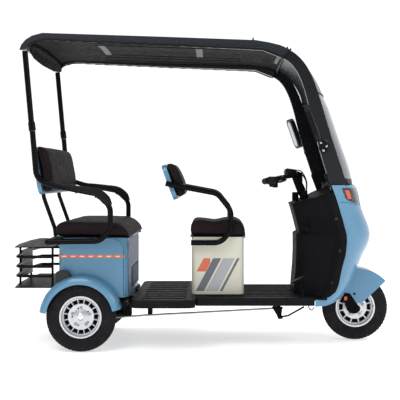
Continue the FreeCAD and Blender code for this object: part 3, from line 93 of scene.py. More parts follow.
def look(name, slot, colour, rough, metal=0.0, mottle=0.07, mottleScale=5.0, grain=None, cells=None,
         coat=0.0, dust=0.0, specular=0.5, **extra):
    # colour is 0 to 255 and swings by mottle between two tones; grain (even) and cells (leather) are the
    # (scale, depth in mm) of the relief
    colour = srgb(*colour)
    mat = bpy.data.materials.new(name)
    mat.use_nodes = True
    tree = mat.node_tree
    bsdf = tree.nodes["Principled BSDF"]
    place = tree.nodes.new("ShaderNodeTexCoord").outputs["Object"]

    def noiseNode(scale, detail, roughness=0.55):
        return added(tree, "TexNoise", place, "Vector", Scale=scale, Detail=detail,
                     Roughness=roughness).outputs["Fac"]

    def ranged(value, low, high, fromLow=0.3, fromHigh=0.7):
        return added(tree, "MapRange", value, "Value", From_Min=fromLow, From_Max=fromHigh, To_Min=low,
                     To_Max=high).outputs["Result"]

    base = added(tree, "ValToRGB", noiseNode(mottleScale, 4), "Fac")
    low, high = base.color_ramp.elements
    low.position, high.position = 0.3, 0.7
    low.color = [c * (1 - mottle) for c in colour] + [1]
    high.color = [min(1, c * (1 + mottle)) for c in colour] + [1]
    shade = base.outputs["Color"]
    if dust:
        mix = tree.nodes.new("ShaderNodeMix")
        mix.data_type = "RGBA"
        mix.inputs["B"].default_value = srgb(150, 145, 138) + [1]
        tree.links.new(shade, mix.inputs["A"])
        tree.links.new(ranged(noiseNode(22, 6, 0.7), 0, dust, 0.5, 0.8), mix.inputs["Factor"])
        shade = mix.outputs["Result"]
    tree.links.new(shade, bsdf.inputs["Base Color"])
    spread = 0.18 * rough
    tree.links.new(ranged(noiseNode(38, 5), rough - spread, rough + spread), bsdf.inputs["Roughness"])
    values = {"Metallic": metal, "Coat Weight": coat, "Coat Roughness": 0.06, "Specular IOR Level": specular}
    for key, value in {**values, **extra}.items():
        bsdf.inputs[key.replace("_", " ")].default_value = value
    if grain or cells:
        scale, depth = grain or cells
        if cells:
            pits = added(tree, "TexVoronoi", place, "Vector", Scale=scale)
            pits.feature = "SMOOTH_F1"
            pits.inputs["Smoothness"].default_value = 0.35
            height = pits.outputs["Distance"]
        else:
            height = noiseNode(scale, 3)
        bump = added(tree, "Bump", height, "Height", Strength=0.6, Distance=depth * mm)
        tree.links.new(bump.outputs["Normal"], bsdf.inputs["Normal"])
    looks[name] = mat
    lookSlots[name] = slot


look("bluePaint", "blue_paint", (80, 131, 163), 0.32, mottle=0.02, mottleScale=2, coat=0.25)
look("creamShell", "cream_plastic", (202, 200, 184), 0.36, mottle=0.03, grain=(60, 0.015), coat=0.1)
look("lilacShell", "blue_paint", (98, 106, 132), 0.5, mottle=0.04, grain=(60, 0.02), specular=0.15)
look("tealVent", "blue_paint", (33, 72, 94), 0.5, mottle=0.06, grain=(300, 0.08), specular=0.2)
look("blackTube", "black_steel", (14, 14, 16), 0.22, mottle=0.12, grain=(140, 0.02), coat=0.05, IOR=1.12)
look("blackSatin", "black_steel", (15, 15, 18), 0.40, mottle=0.12, grain=(400, 0.08), IOR=1.1)
look("castBlack", "cast_metal", (28, 29, 32), 0.55, metal=0.2, mottle=0.18, mottleScale=14, dust=0.12,
     grain=(240, 0.5), specular=0.15)
look("cowlPlastic", "black_plastic", (24, 24, 27), 0.50, mottle=0.08, cells=(900, 0.06), IOR=1.05)
# near black: painted shade in the ring behind the rim windows, the patch in the cowl pocket and the sheet
# behind the vent ribs; plain colour of the liner ribs
look("cowlShade", "black_plastic", (11, 11, 13), 0.62, mottle=0.1, cells=(900, 0.16), specular=0.08)
look("pillarGloss", "black_plastic", (23, 25, 29), 0.26, mottle=0.06, grain=(70, 0.02), coat=0.04, IOR=1.25)
look("floorPlastic", "black_plastic", (21, 22, 25), 0.55, mottle=0.1, dust=0.02, cells=(700, 0.2),
     specular=0.06)
look("trimBlack", "black_plastic", (14, 14, 16), 0.44, mottle=0.12, grain=(500, 0.1), specular=0.14)
look("roofGloss", "slate_gloss", (37, 41, 47), 0.26, mottle=0.02, mottleScale=2, coat=0.06, IOR=1.3)
look("roofLiner", "black_plastic", (12, 11, 14), 0.60, mottle=0.1, cells=(1100, 0.05), specular=0.03)
look("stripGrey", "black_plastic", (104, 103, 110), 0.5, mottle=0.06, grain=(500, 0.1), specular=0.1)
look("vinyl", "seat_leather", (36, 29, 31), 0.5, mottle=0.08, mottleScale=9, cells=(620, 0.1), IOR=1.06)
look("piping", "seat_leather", (20, 16, 18), 0.48, mottle=0.08, grain=(700, 0.12), specular=0.12)
look("padRubber", "soft_rubber", (18, 18, 20), 0.52, mottle=0.1, cells=(1000, 0.2), specular=0.14)
look("gripRubber", "soft_rubber", (16, 16, 18), 0.60, mottle=0.1, cells=(800, 0.3), specular=0.12)
look("tyreRubber", "tyre", (22, 22, 25), 0.72, mottle=0.14, mottleScale=9, dust=0.05, grain=(350, 0.35),
     specular=0.14)
look("alloy", "alloy", (206, 207, 212), 0.34, metal=0.75, mottle=0.05, grain=(160, 0.1))
# dark alloy for clips and the rim groove; also the painted shade on the frames round the rim windows
look("alloyDark", "alloy", (40, 41, 45), 0.55, metal=0.5, mottle=0.12, grain=(240, 0.25), dust=0.1)
look("chrome", "bright_steel", (205, 206, 210), 0.14, metal=1.0, mottle=0.03, grain=(120, 0.04))
look("zinc", "bright_steel", (165, 165, 168), 0.36, metal=0.9, mottle=0.1, grain=(300, 0.12))
look("mirrorGlass", "bright_steel", (170, 176, 182), 0.05, metal=1.0, mottle=0.02)
look("screenClear", "clear_screen", (150, 155, 166), 0.04, mottle=0.02, Transmission_Weight=0.96, IOR=1.3)
look("lensClear", "clear_lens", (126, 130, 142), 0.06, mottle=0.03, Transmission_Weight=0.9, IOR=1.42)
look("lampOrange", "lamp_red", (216, 92, 50), 0.2, mottle=0.06, grain=(500, 0.3), Transmission_Weight=0.15)
look("lampRed", "lamp_red", (150, 26, 24), 0.16, mottle=0.08, grain=(500, 0.3), coat=0.6)
look("lampDark", "lamp_red", (30, 33, 38), 0.30, mottle=0.1, grain=(200, 0.1), coat=0.15, specular=0.2)
look("decalOrange", "blue_paint", (206, 104, 70), 0.36, mottle=0.05, mottleScale=3, grain=(90, 0.03))
look("decalSilver", "cream_plastic", (160, 162, 167), 0.32, metal=0.35, mottle=0.05, mottleScale=3,
     grain=(90, 0.03))
look("decalSteel", "black_plastic", (96, 100, 106), 0.34, metal=0.3, mottle=0.05, grain=(90, 0.03))
look("decalWhite", "cream_plastic", (226, 214, 208), 0.36, mottle=0.03, grain=(90, 0.03))
look("plateBlank", "black_plastic", (28, 29, 33), 0.4, mottle=0.05, grain=(300, 0.06), specular=0.2)
print("looks", len(looks))

# finish of each node that stays; every other one is satin black
nodesOf = {
    "castBlack": "rear_axle drive_motor", "zinc": "front_axle brake_rod", "gripRubber": "grips",
    "bluePaint": "front_fender rear_box bench_back_shell driver_back_shell rear_fenders front_shield",
    "floorPlastic": "rear_floor front_floor",
    "trimBlack": "bench_board battery driver_board lamp_housings screen_base mirrors",
    "blackTube": "bench_posts armrest_frames rear_pillars driver_seat_frame", "creamShell": "driver_box",
    "lampDark": "tail_lamps", "plateBlank": "plate_panel", "lensClear": "headlamps",
    "cowlPlastic": "inner_cowl dash_panel", "pillarGloss": "front_pillars", "screenClear": "windscreen",
    "roofGloss": "roof_visor roof_shell", "roofLiner": "roof_liner",
    "alloy": "rear_rim_left rear_rim_right front_rim"}
nodeLooks = {node: finish for finish, nodes in nodesOf.items() for node in nodes.split()}
for node, obj in frame["nodes"].items():
    obj.data.materials.clear()
    obj.data.materials.append(looks[nodeLooks.get(node, "blackSatin")])


def made(name, verts, faces, finish, body="root", crease=38):
    # verts in millimetres in the common frame; finish names a look, body the moving part it rides on
    mesh = bpy.data.meshes.new(name)
    mesh.from_pydata((np.asarray(verts, float) * mm).tolist(), [], [list(f) for f in faces])
    bm = bmesh.new()
    bm.from_mesh(mesh)
    bmesh.ops.remove_doubles(bm, verts=bm.verts, dist=2e-6)
    bmesh.ops.recalc_face_normals(bm, faces=bm.faces)
    bm.to_mesh(mesh)
    bm.free()
    mesh.materials.append(looks[finish])
    mesh.polygons.foreach_set("use_smooth", [True] * len(mesh.polygons))
    mesh.set_sharp_from_angle(angle=math.radians(crease))
    obj = bpy.data.objects.new(name, mesh)
    scene.collection.objects.link(obj)
    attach(obj, body)
    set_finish(obj, lookSlots[finish])
    return obj


def bevelled(obj, width, segments=2):
    # rounds edges sharper than 30 degrees by width mm
    mod = obj.modifiers.new("edge", "BEVEL")
    mod.width = width * mm
    mod.segments = segments
    mod.limit_method = "ANGLE"
    mod.angle_limit = math.radians(30)
    return obj


def baked(obj):
    # new mesh with the modifiers applied
    return bpy.data.meshes.new_from_object(obj.evaluated_get(bpy.context.evaluated_depsgraph_get()))


def gridFaces(rows, cols, closeRows=False, closeCols=True):
    # quads between neighbours of a grid whose vertex (i, j) has number i * cols + j; closed sides join up
    i, j = np.meshgrid(np.arange(rows if closeRows else rows - 1), np.arange(cols if closeCols else cols - 1),
                       indexing="ij")
    down, right = (i + 1) % rows * cols, (j + 1) % cols
    return np.stack([i * cols + j, i * cols + right, down + right, down + j], axis=-1).reshape(-1, 4).tolist()


def lofted(name, sections, finish, body="root", caps=True, closed=False, crease=38):
    # closed rings joined one to the next; caps close the ends, closed joins the last ring to the first
    rows, cols = len(sections), len(sections[0])
    faces = gridFaces(rows, cols, closeRows=closed)
    if caps and not closed:
        faces += [list(range(cols))[::-1], [(rows - 1) * cols + k for k in range(cols)]]
    return made(name, np.array(sections, float).reshape(-1, 3), faces, finish, body, crease)


def rounded(points, radius, steps=6):
    # corners replaced by quadratic arcs that start radius before and end radius after each corner
    points = [Vector(p) for p in points]
    out = [points[0]]
    for before, here, after in zip(points, points[1:], points[2:]):
        back = min(radius, (here - before).length * 0.49)
        on = min(radius, (after - here).length * 0.49)
        start = here + (before - here).normalized() * back
        end = here + (after - here).normalized() * on
        for k in range(steps + 1):
            t = k / steps
            out.append(start * (1 - t) ** 2 + here * 2 * t * (1 - t) + end * t * t)
    out.append(points[-1])
    return out


def smoothed(points, count):
    # smooth cubic through the points, its slope at each one half the step between that one's neighbours,
    # resampled to count even steps
    p = np.asarray([list(q) for q in points], float)
    ends = np.vstack([2 * p[0] - p[1], p, 2 * p[-1] - p[-2]])
    t = np.linspace(0, 1, 24, endpoint=False)[:, None]
    fine = [0.5 * (2 * b + (c - a) * t + (2 * a - 5 * b + 4 * c - d) * t * t
                   + (3 * b - a - 3 * c + d) * t ** 3)
            for a, b, c, d in zip(ends, ends[1:], ends[2:], ends[3:])]
    fine = np.vstack(fine + [p[-1:]])
    run = np.concatenate([[0], np.cumsum(np.linalg.norm(np.diff(fine, axis=0), axis=1))])
    marks = np.linspace(0, run[-1], count)
    return np.stack([np.interp(marks, run, fine[:, k]) for k in range(p.shape[1])], axis=1)


def tube(name, points, radius, finish, body="root", sides=14, flat=1.0, crease=50):
    # circle carried along the points: here + r * (cos(a) * normal + flat * sin(a) * across), where the normal
    # turns as little as it can from point to point; radius is one number or one for each point
    points = [Vector(p) for p in points]
    normals, sideways = [], []
    normal = None
    for before, after in zip(points[:1] + points, points[1:] + points[-1:]):
        along = (after - before).normalized()
        if normal is None:
            normal = along.orthogonal().normalized()
            if abs(along.y) < 0.9:
                normal = along.cross(Vector((0, 1, 0))).normalized()
        normal = (normal - along * normal.dot(along)).normalized()
        normals.append(normal)
        sideways.append(along.cross(normal))
    turn = 2 * np.pi * np.arange(sides)[:, None] / sides
    radii = np.broadcast_to(np.array(radius, float), len(points))[:, None, None]
    rings = (np.array(points)[:, None] + radii * np.cos(turn) * np.array(normals)[:, None]
             + radii * flat * np.sin(turn) * np.array(sideways)[:, None])
    return lofted(name, rings, finish, body, crease=crease)


def turned(name, profile, centre, axis, finish, body="root", steps=48, crease=35, closed=False):
    # profile of (radius r, height h) pairs spun about the axis: centre + h * axis + r * (cos(a) * side
    # + sin(a) * other); closed makes a ring of the profile
    axis = Vector(axis).normalized()
    side = axis.orthogonal().normalized()
    other = np.array(axis.cross(side))
    turn = 2 * np.pi * np.arange(steps)[:, None] / steps
    r, h = np.array(profile, float).T[..., None, None]
    rings = (np.array(centre, float) + h * np.array(axis)
             + np.maximum(r, 0.001) * (np.cos(turn) * np.array(side) + np.sin(turn) * other))
    return lofted(name, rings, finish, body, closed=closed, crease=crease)


def hexBolt(name, centre, axis, radius, height, finish="zinc", body="root"):
    # six-sided chamfered head on a thin washer, both turned about the axis
    washer = [(radius * 1.5, 0), (radius * 1.5, height * 0.25), (radius * 1.3, height * 0.32)]
    turned(name + "_washer", washer, centre, axis, finish, body, 20)
    profile = [(radius, height * 0.3), (radius, height * 0.85), (radius * 0.82, height), (0, height)]
    return turned(name, profile, centre, axis, finish, body, 6, crease=20)


def domeScrew(name, centre, axis, radius, height, finish="zinc", body="root"):
    # round head with a small socket sunk to 0.45 of its height
    profile = [(radius, 0), (radius * 0.98, height * 0.3), (radius * 0.8, height * 0.75),
               (radius * 0.45, height), (radius * 0.3, height * 0.98), (radius * 0.28, height * 0.45),
               (0, height * 0.45)]
    return turned(name, profile, centre, axis, finish, body, 18, crease=30)


def brick(name, low, high, finish, body="root", edge=2.0, turn=None, about=None, segments=2):
    # box between two corners, turned by (axis, degrees) about its middle or a given point, edges rounded
    (x0, y0, z0), (x1, y1, z1) = low, high
    verts = [Vector((x, y, z)) for x in (x0, x1) for y in (y0, y1) for z in (z0, z1)]
    if turn:
        pivot = Vector(about) if about else sum(verts, Vector()) / 8
        spin = Matrix.Rotation(math.radians(turn[1]), 4, Vector(turn[0]))
        verts = [pivot + spin @ (v - pivot) for v in verts]
    faces = [(0, 1, 3, 2), (4, 6, 7, 5), (0, 4, 5, 1), (2, 3, 7, 6), (0, 2, 6, 4), (1, 5, 7, 3)]
    return bevelled(made(name, verts, faces, finish, body), edge, segments)


def prism(name, near, far, finish, body="root"):
    # near and far are matching loops of points
    count = len(near)
    faces = [list(range(count))[::-1], [count + k for k in range(count)]]
    faces += [(k, (k + 1) % count, count + (k + 1) % count, count + k) for k in range(count)]
    return made(name, near + far, faces, finish, body)


def slab(name, outline, low, high, finish, body="root", edge=0.0, plane="XZ"):
    # outline in the plane named, extruded from low to high along the third axis
    put = {"XZ": lambda p, d: (p[0], d, p[1]), "YZ": lambda p, d: (d, p[0], p[1])}[plane]
    obj = prism(name, [put(p, low) for p in outline], [put(p, high) for p in outline], finish, body)
    return bevelled(obj, edge) if edge else obj


trees = {}


def hit(node, origin, direction):
    # first point (mm) and normal of a node met from origin along direction
    if node not in trees:
        obj = frame["nodes"][node]
        trees[node] = BVHTree.FromObject(obj, bpy.context.evaluated_depsgraph_get())
    place, normal, _, _ = trees[node].ray_cast(Vector(origin) * mm, Vector(direction).normalized())
    return (place / mm, normal) if place is not None else (None, None)


def boxOf(node):
    # low and high corner of a node in mm
    low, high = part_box(node)
    return np.array(low) / mm, np.array(high) / mm


tyreShape = {"bead": 104.4, "steps": 432, "blocks": 54, "groove": 3.6, "sipe": 2.2}


# tyres: a profile (r, y) from bead to bead spun about the axle: r less the depth of the tread pattern at that
# angle, y wider by two ridges on the wall, each a bell curve of the radius
def tyre(name, node, body):
    low, high = boxOf(node)
    centre = (low + high) / 2
    outer, half = (high[0] - low[0]) / 2 - 0.2, (high[1] - low[1]) / 2 - 0.2
    seat = tyreShape["bead"]
    rise = outer - seat
    side = [(seat, 25.5), (seat + 4, 27), (seat + 0.14 * rise, 30), (seat + 0.3 * rise, half - 3),
            (seat + 0.52 * rise, half), (outer - 0.24 * rise, half - 2.4), (outer - 0.13 * rise, half - 8),
            (outer - 0.05 * rise, 0.62 * half), (outer - 0.01 * rise, 0.3 * half), (outer, 0)]
    near = smoothed(side, 34)
    profile = np.vstack([near, np.stack([near[-2::-1, 0], -near[-2::-1, 1]], axis=1)])
    steps, blocks = tyreShape["steps"], tyreShape["blocks"]
    angle = np.linspace(0, 2 * np.pi, steps, endpoint=False)[:, None]
    r = np.repeat(profile[None, :, 0], steps, axis=0)
    y = np.repeat(profile[None, :, 1], steps, axis=0)
    share = np.abs(y) / half
    tread = np.clip((r - (outer - 0.17 * rise)) / (0.03 * rise), 0, 1)
    slot = np.abs(((angle * blocks / (2 * np.pi)) + 0.9 * share * np.sign(y)) % 1 - 0.5)
    lateral = (slot < 0.14) & (share > 0.3)
    wave = 0.30 + 0.035 * np.sin(angle * blocks)
    groove = np.abs(share - wave) < 0.05
    sipe = np.abs(((angle * blocks / (2 * np.pi)) + 0.5) % 1 - 0.5) < 0.08
    sipeDepth = np.where(sipe & (share < 0.22), tyreShape["sipe"], 0)
    cut = np.where(groove | lateral, tyreShape["groove"], sipeDepth) * tread
    wall = (r < outer - 0.2 * rise) & (r > seat + 0.2 * rise)
    ridge = (0.9 * np.exp(-((r - (seat + 0.24 * rise)) / 1.6) ** 2)
             + 0.8 * np.exp(-((r - (seat + 0.7 * rise)) / 1.5) ** 2))
    swell = np.where(wall, ridge - 0.8, 0)
    r = r - cut
    y = y + np.sign(y) * swell
    verts = np.stack([centre[0] + r * np.cos(angle), centre[1] + y, centre[2] + r * np.sin(angle)], axis=2)
    count = profile.shape[0]
    obj = made(name, verts.reshape(-1, 3), gridFaces(steps, count, closeRows=True, closeCols=True),
               "tyreRubber", body, crease=40)
    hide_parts(node)
    return obj


for label, node, body in (("tyreRearLeft", "rear_tyre_left", "rear_wheel_left"),
                          ("tyreRearRight", "rear_tyre_right", "rear_wheel_right"),
                          ("tyreFront", "front_tyre", "front_wheel")):
    tyre(label, node, body)
print("tyres")


# seat pads: side loop swept across, ends rounded, then filled by a short cloth run
def insetLoop(loop, distance):
    # each point moved inwards by distance along the normal of the line between its neighbours
    ahead = np.roll(loop, -1, axis=0) - np.roll(loop, 1, axis=0)
    ahead /= np.linalg.norm(ahead, axis=1)[:, None]
    normal = np.stack([-ahead[:, 1], ahead[:, 0]], axis=1)
    area = np.sum(loop[:, 0] * np.roll(loop[:, 1], -1) - loop[:, 1] * np.roll(loop[:, 0], -1))
    return loop + normal * distance * np.sign(area)


def padForm(loop, half, radius, crown):
    # side loop swept from -half to half; ends shrink as a quarter circle of that radius; the top rises by
    # crown * (1 - (y / half)^2) * share^2, share being the height in the loop from 0 to 1
    loop = np.asarray(loop, float)
    closed = smoothed(np.vstack([loop, loop[:1]]), 97)[:-1]
    rings, stations = [], []
    for k in range(8):
        a = math.pi / 2 * (1 - k / 7)
        stations.append((-(half - radius + radius * math.sin(a)), radius * (1 - math.cos(a))))
    stations += [(y, 0) for y in np.linspace(-(half - radius), half - radius, 26)[1:-1]]
    stations += [(-y, inset) for y, inset in stations[7::-1]]
    low, high = closed[:, 1].min(), closed[:, 1].max()
    for y, inset in stations:
        ring = insetLoop(closed, inset * 0.8)
        share = np.clip((ring[:, 1] - low) / (high - low), 0, 1)
        lift = crown * (1 - (y / half) ** 2) * share ** 2
        rings.append(np.stack([ring[:, 0], np.full(len(ring), y), ring[:, 1] + lift], axis=1))
    return rings


def simulate(obj, voxel):
    # cap is how far in mm the filling may push a point of the cover
    pressure, cap, frames = 4.0, 7, 20
    bpy.context.view_layer.objects.active = obj
    remesh = obj.modifiers.new("voxels", "REMESH")
    remesh.mode = "VOXEL"
    remesh.voxel_size = voxel * mm
    mesh = baked(obj)
    obj.modifiers.clear()
    obj.data = mesh
    rest = np.array([v.co for v in mesh.vertices])
    cloth = obj.modifiers.new("fill", "CLOTH")
    cloth.settings.use_pressure = True
    cloth.settings.uniform_pressure_force = pressure
    cloth.settings.effector_weights.gravity = 0
    cloth.settings.quality = 5
    cloth.settings.tension_stiffness = cloth.settings.compression_stiffness = 15
    cloth.settings.shear_stiffness = 8
    cloth.settings.bending_stiffness = 0.6
    scene.frame_start, scene.frame_end = 1, frames
    for step in range(1, frames + 1):
        scene.frame_set(step)
    final = baked(obj)
    moved = np.array([v.co for v in final.vertices]) - rest
    length = np.linalg.norm(moved, axis=1)[:, None]
    moved *= np.minimum(1, cap * mm / np.maximum(length, 1e-9))
    final.vertices.foreach_set("co", (rest + moved).ravel())
    obj.modifiers.clear()
    obj.data = final
    scene.frame_set(1)


def creased(obj, lines, depth, width):
    # vertices near a seam line sink along their normal by depth * exp(-(distance / width)^2)
    mesh = obj.data
    co = np.array([v.co for v in mesh.vertices]) / mm
    normal = np.array([v.normal for v in mesh.vertices])
    sink = np.zeros(len(co))
    for line in lines:
        dense = smoothed(line, 260)
        near = np.full(len(co), 1e9)
        for start in range(0, len(dense), 40):
            part = dense[start:start + 40]
            near = np.minimum(near, np.min(np.linalg.norm(co[:, None] - part[None], axis=2), axis=1))
        sink = np.maximum(sink, depth * np.exp(-(near / width) ** 2))
    ripple = np.array([noise.noise(Vector(p) * 0.018) for p in co]) * 1.3
    co += normal * (ripple - sink)[:, None]
    mesh.vertices.foreach_set("co", (co * mm).ravel())
    mesh.update()


def pad(name, node, body, loop, half, radius, crown, seams, voxel, place=None):
    # cushion form, filled, creased along its seams, with piping laid on the skin over each seam
    rings = padForm(insetLoop(np.asarray(loop, float), 3), half, radius, crown)
    if place:
        rings = [[place @ Vector(p) for p in ring] for ring in rings]
        seams = [[place @ Vector(p) for p in line] for line in seams]
    obj = lofted(name, rings, "vinyl", body)
    simulate(obj, voxel)
    obj.data.materials.clear()
    obj.data.materials.append(looks["vinyl"])
    creased(obj, seams, 3.2, 5.0)
    smooth = obj.modifiers.new("relax", "SMOOTH")
    smooth.factor, smooth.iterations = 0.5, 2
    sub = obj.modifiers.new("fine", "SUBSURF")
    sub.levels = sub.render_levels = 1
    obj.data = baked(obj)
    obj.modifiers.clear()
    obj.data.polygons.foreach_set("use_smooth", [True] * len(obj.data.polygons))
    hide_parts(node)
    skin = BVHTree.FromObject(obj, bpy.context.evaluated_depsgraph_get())
    for number, line in enumerate(seams):
        ring = []
        for point in smoothed(line, 150):
            place, normal, _, _ = skin.find_nearest(Vector(point) * mm)
            ring.append(place / mm + normal * 0.6)
        tube(f"{name}Piping{number}", ring, 2.0, "piping", body, sides=8)
    return obj


benchPad = {"node": "bench_cushion", "body": "bench_lid", "half": 383, "radius": 26, "crown": 4, "voxel": 8,
            "loop": [(-770, 607), (-783, 618), (-785, 645), (-776, 668), (-745, 676), (-650, 677),
                     (-540, 676), (-470, 672), (-425, 656), (-397, 630), (-386, 606), (-388, 594),
                     (-398, 590), (-406, 598), (-420, 604), (-600, 606)]}
benchSeam = [(-780, 655), (-745, 664), (-640, 665), (-540, 664), (-480, 658), (-434, 640), (-402, 612)]
pad("benchCushion", seams=[[(x, side * 379, z) for x, z in benchSeam] for side in (-1, 1)], **benchPad)
driverPad = {"node": "driver_cushion", "body": "driver_lid", "half": 181, "radius": 24, "crown": 3,
             "voxel": 6,
             "loop": [(-84, 600), (-91, 626), (-87, 656), (-70, 676), (-13, 675), (47, 668), (100, 676),
                      (150, 681), (190, 672), (214, 650), (226, 624), (222, 603), (205, 597)]}
driverSeam = [(-86, 644), (-70, 658), (-10, 659), (50, 651), (100, 659), (150, 664), (184, 654), (208, 628)]
pad("driverCushion", seams=[[(x, side * 178, z) for x, z in driverSeam] for side in (-1, 1)], **driverPad)
print("seat pads")


def backPad(name, node, half, tilt, voxel):
    # loop in the node's own tilted plane: thickness along local x, height along local z
    low, high = boxOf(node)
    height = high[2] - low[2]
    tilt = math.radians(tilt)
    tall = (height - 55 * math.sin(tilt)) / math.cos(tilt)
    thick = 52
    foot = Vector((high[0] - thick * math.cos(tilt) + 4, 0, low[2] + 2))
    place = Matrix.Translation(foot) @ Matrix.Rotation(-tilt, 4, "Y")
    loop = [(2, 4), (2, tall - 6), (14, tall + 4), (32, tall - 4), (46, tall - 34), (thick, tall * 0.45),
            (thick - 4, 22), (36, 2), (16, -3)]
    lines = [[(30, side * (half - 2), 14), (34, side * (half - 1), tall * 0.45),
              (24, side * (half - 2), tall - 12)] for side in (-1, 1)]
    return pad(name, node, "root", loop, half, 22, 4, lines, voxel, place)


backPad("benchBack", "bench_back_cushion", 378, 9, 8)
backPad("driverBack", "driver_back_cushion", 196, 20, 6)
print("back pads")


# armrest grips: line + up * rise and y + out, where out = wide * cos(a)^0.75 and rise = high * sin(a)^0.8
# keep their signs; slim at the back, full and blunt at the tip, a little flatter below
armrestGrip = {"y": 427, "marks": [0, 0.17, 0.4, 0.58, 0.73, 0.88, 1], "high": [6, 12, 17, 21, 25, 25, 15],
               "wide": [9, 17, 21, 22, 22, 21, 12], "rings": 26, "sides": 28, "below": 0.95,
               "line": [(-744, 872), (-690, 862), (-620, 849), (-565, 838), (-528, 818), (-503, 792),
                        (-487, 768)], "screws": [(-658, 839), (-558, 816)]}
gripLine = smoothed(armrestGrip["line"], armrestGrip["rings"])
gripHigh, gripWide = (np.interp(np.linspace(0, 1, armrestGrip["rings"]), armrestGrip["marks"],
                                armrestGrip[key])[:, None] for key in ("high", "wide"))
ahead = np.vstack([gripLine[1:], gripLine[-1:]]) - np.vstack([gripLine[:1], gripLine[:-1]])
ahead /= np.linalg.norm(ahead, axis=1)[:, None]
turn = 2 * np.pi * np.arange(armrestGrip["sides"])[None] / armrestGrip["sides"]
out = np.sign(np.cos(turn)) * np.abs(np.cos(turn)) ** 0.75 * gripWide
rise = np.sign(np.sin(turn)) * np.abs(np.sin(turn)) ** 0.8 * gripHigh
rise *= np.where(np.sin(turn) > 0, 1.0, armrestGrip["below"])
for side, label in leftRight:
    rings = np.stack([gripLine[:, :1] - ahead[:, 1:] * rise, side * armrestGrip["y"] + out,
                      gripLine[:, 1:] + ahead[:, :1] * rise], axis=2)
    grip = lofted("armrestGrip" + label, rings, "padRubber")
    if side > 0:
        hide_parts("armrest_pads")
    for number, (x, z) in enumerate(armrestGrip["screws"]):
        domeScrew(f"gripScrew{label}{number}", (x, side * armrestGrip["y"], z), (-0.19, 0, -1), 6, 9,
                  "trimBlack")


def rimFace(node, centre, side, radius, turn=0.0):
    # y where a line along the axle meets the rim at this radius and angle
    start = (centre[0] + radius * math.cos(turn), centre[1] + side * 200, centre[2] + radius * math.sin(turn))
    return hit(node, start, (0, -side, 0))[0][1]


# wheels: nuts, dark ring behind the windows as painted shade, window edges darkened as painted shade, groove,
# valve, hub ring
for label, node, body, sides in (("RearLeft", "rear_rim_left", "rear_wheel_left", (1,)),
                                 ("RearRight", "rear_rim_right", "rear_wheel_right", (-1,)),
                                 ("Front", "front_rim", "front_wheel", (-1, 1))):
    low, high = boxOf(node)
    centre = (low + high) / 2
    for side in sides:
        if side < 0 or body != "front_wheel":
            for k in range(5):
                a = 2 * math.pi * k / 5 + 0.3
                spot = (centre[0] + 47 * math.cos(a), rimFace(node, centre, side, 47, a) - side * 0.5,
                        centre[2] + 47 * math.sin(a))
                hexBolt(f"wheelNut{label}{k}", spot, (0, side, 0), 6, 7, "zinc", body)
            # dark ring inside the rim: painted shade seen through the windows
            turned("rimShade" + label, [(66.5, 0), (90.5, 0), (90.5, 0.8), (66.5, 0.8)],
                   (centre[0], centre[1] + side * 1.6, centre[2]), (0, -side, 0), "cowlShade", body, 60,
                   closed=True)
            # dark frames round each window on the face, a slight chamfer whose darkness is painted shade that
            # makes the windows look deeper
            step = 30 if label == "Front" else 22.5
            for k in range(round(360 / step)):
                turn = math.radians(step * k)
                faceIn, faceOut = (rimFace(node, centre, side, r, turn) for r in (68, 91))
                rows = []
                for inner, outer, share, lift in ((68.5, 91.5, 0.43, 0), (68.5, 91.5, 0.43, 0.5),
                                                  (71, 88, 0.355, 0.5), (71, 88, 0.355, 0)):
                    swing = math.radians(step * share)
                    rows.append([(centre[0] + r * math.cos(turn + a), face + side * lift,
                                  centre[2] + r * math.sin(turn + a))
                                 for r, a, face in ((inner, -swing, faceIn), (inner, swing, faceIn),
                                                    (outer, swing, faceOut), (outer, -swing, faceOut))])
                lofted(f"windowEdgeShade{label}{k}", rows, "alloyDark", body, caps=False, crease=20)
            turned("rimGroove" + label, [(98.6, 0), (100.6, 0), (100.6, 0.5), (98.6, 0.5)],
                   (centre[0], rimFace(node, centre, side, 99.6), centre[2]), (0, side, 0), "alloyDark", body,
                   72, closed=True)
            stem = [(centre[0] + r, centre[1] + side * y, centre[2] + 8)
                    for r, y in ((104, 22), (99, 36), (95, 44))]
            tube(f"valve{label}", stem, [4, 3.4, 2.8], "gripRubber", body, 10)
        turned(f"hubRing{label}{side + 1}", [(20, -1), (20, 1.5), (17.5, 3), (15, 2), (8, 2.8), (0, 3.2)],
               (centre[0], rimFace(node, centre, side, 14), centre[2]), (0, side, 0), "chrome", body, 40)
print("wheels")

# dampers: a spring coil round a tube and rod each side
low, high = boxOf("shock_absorbers")
midX = (low[0] + high[0]) / 2
damper = {"coil": 17.6, "wire": 3.2, "low": 236, "high": 354, "turns": 9, "stepsPerTurn": 15}
turn = np.linspace(0, 2 * np.pi * damper["turns"], damper["turns"] * damper["stepsPerTurn"] + 1)
for side, label in leftRight:
    y = side * (high[1] - 20)
    turned("damperBody" + label, [(0, 222), (16, 222), (20, 226), (20, 232), (13, 234), (13, 300), (10, 304),
                                  (6, 306), (6, 356), (20, 358), (20, 366), (12, 371), (0, 371)],
           (midX, y, 0), (0, 0, 1), "blackSatin", steps=28)
    coil = np.stack([midX + damper["coil"] * np.cos(turn), y + damper["coil"] * np.sin(turn),
                     np.linspace(damper["low"], damper["high"], len(turn))], axis=1)
    spring = tube("damperSpring" + label, coil, damper["wire"], "blackTube", sides=8)
    if side > 0:
        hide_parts("shock_absorbers")

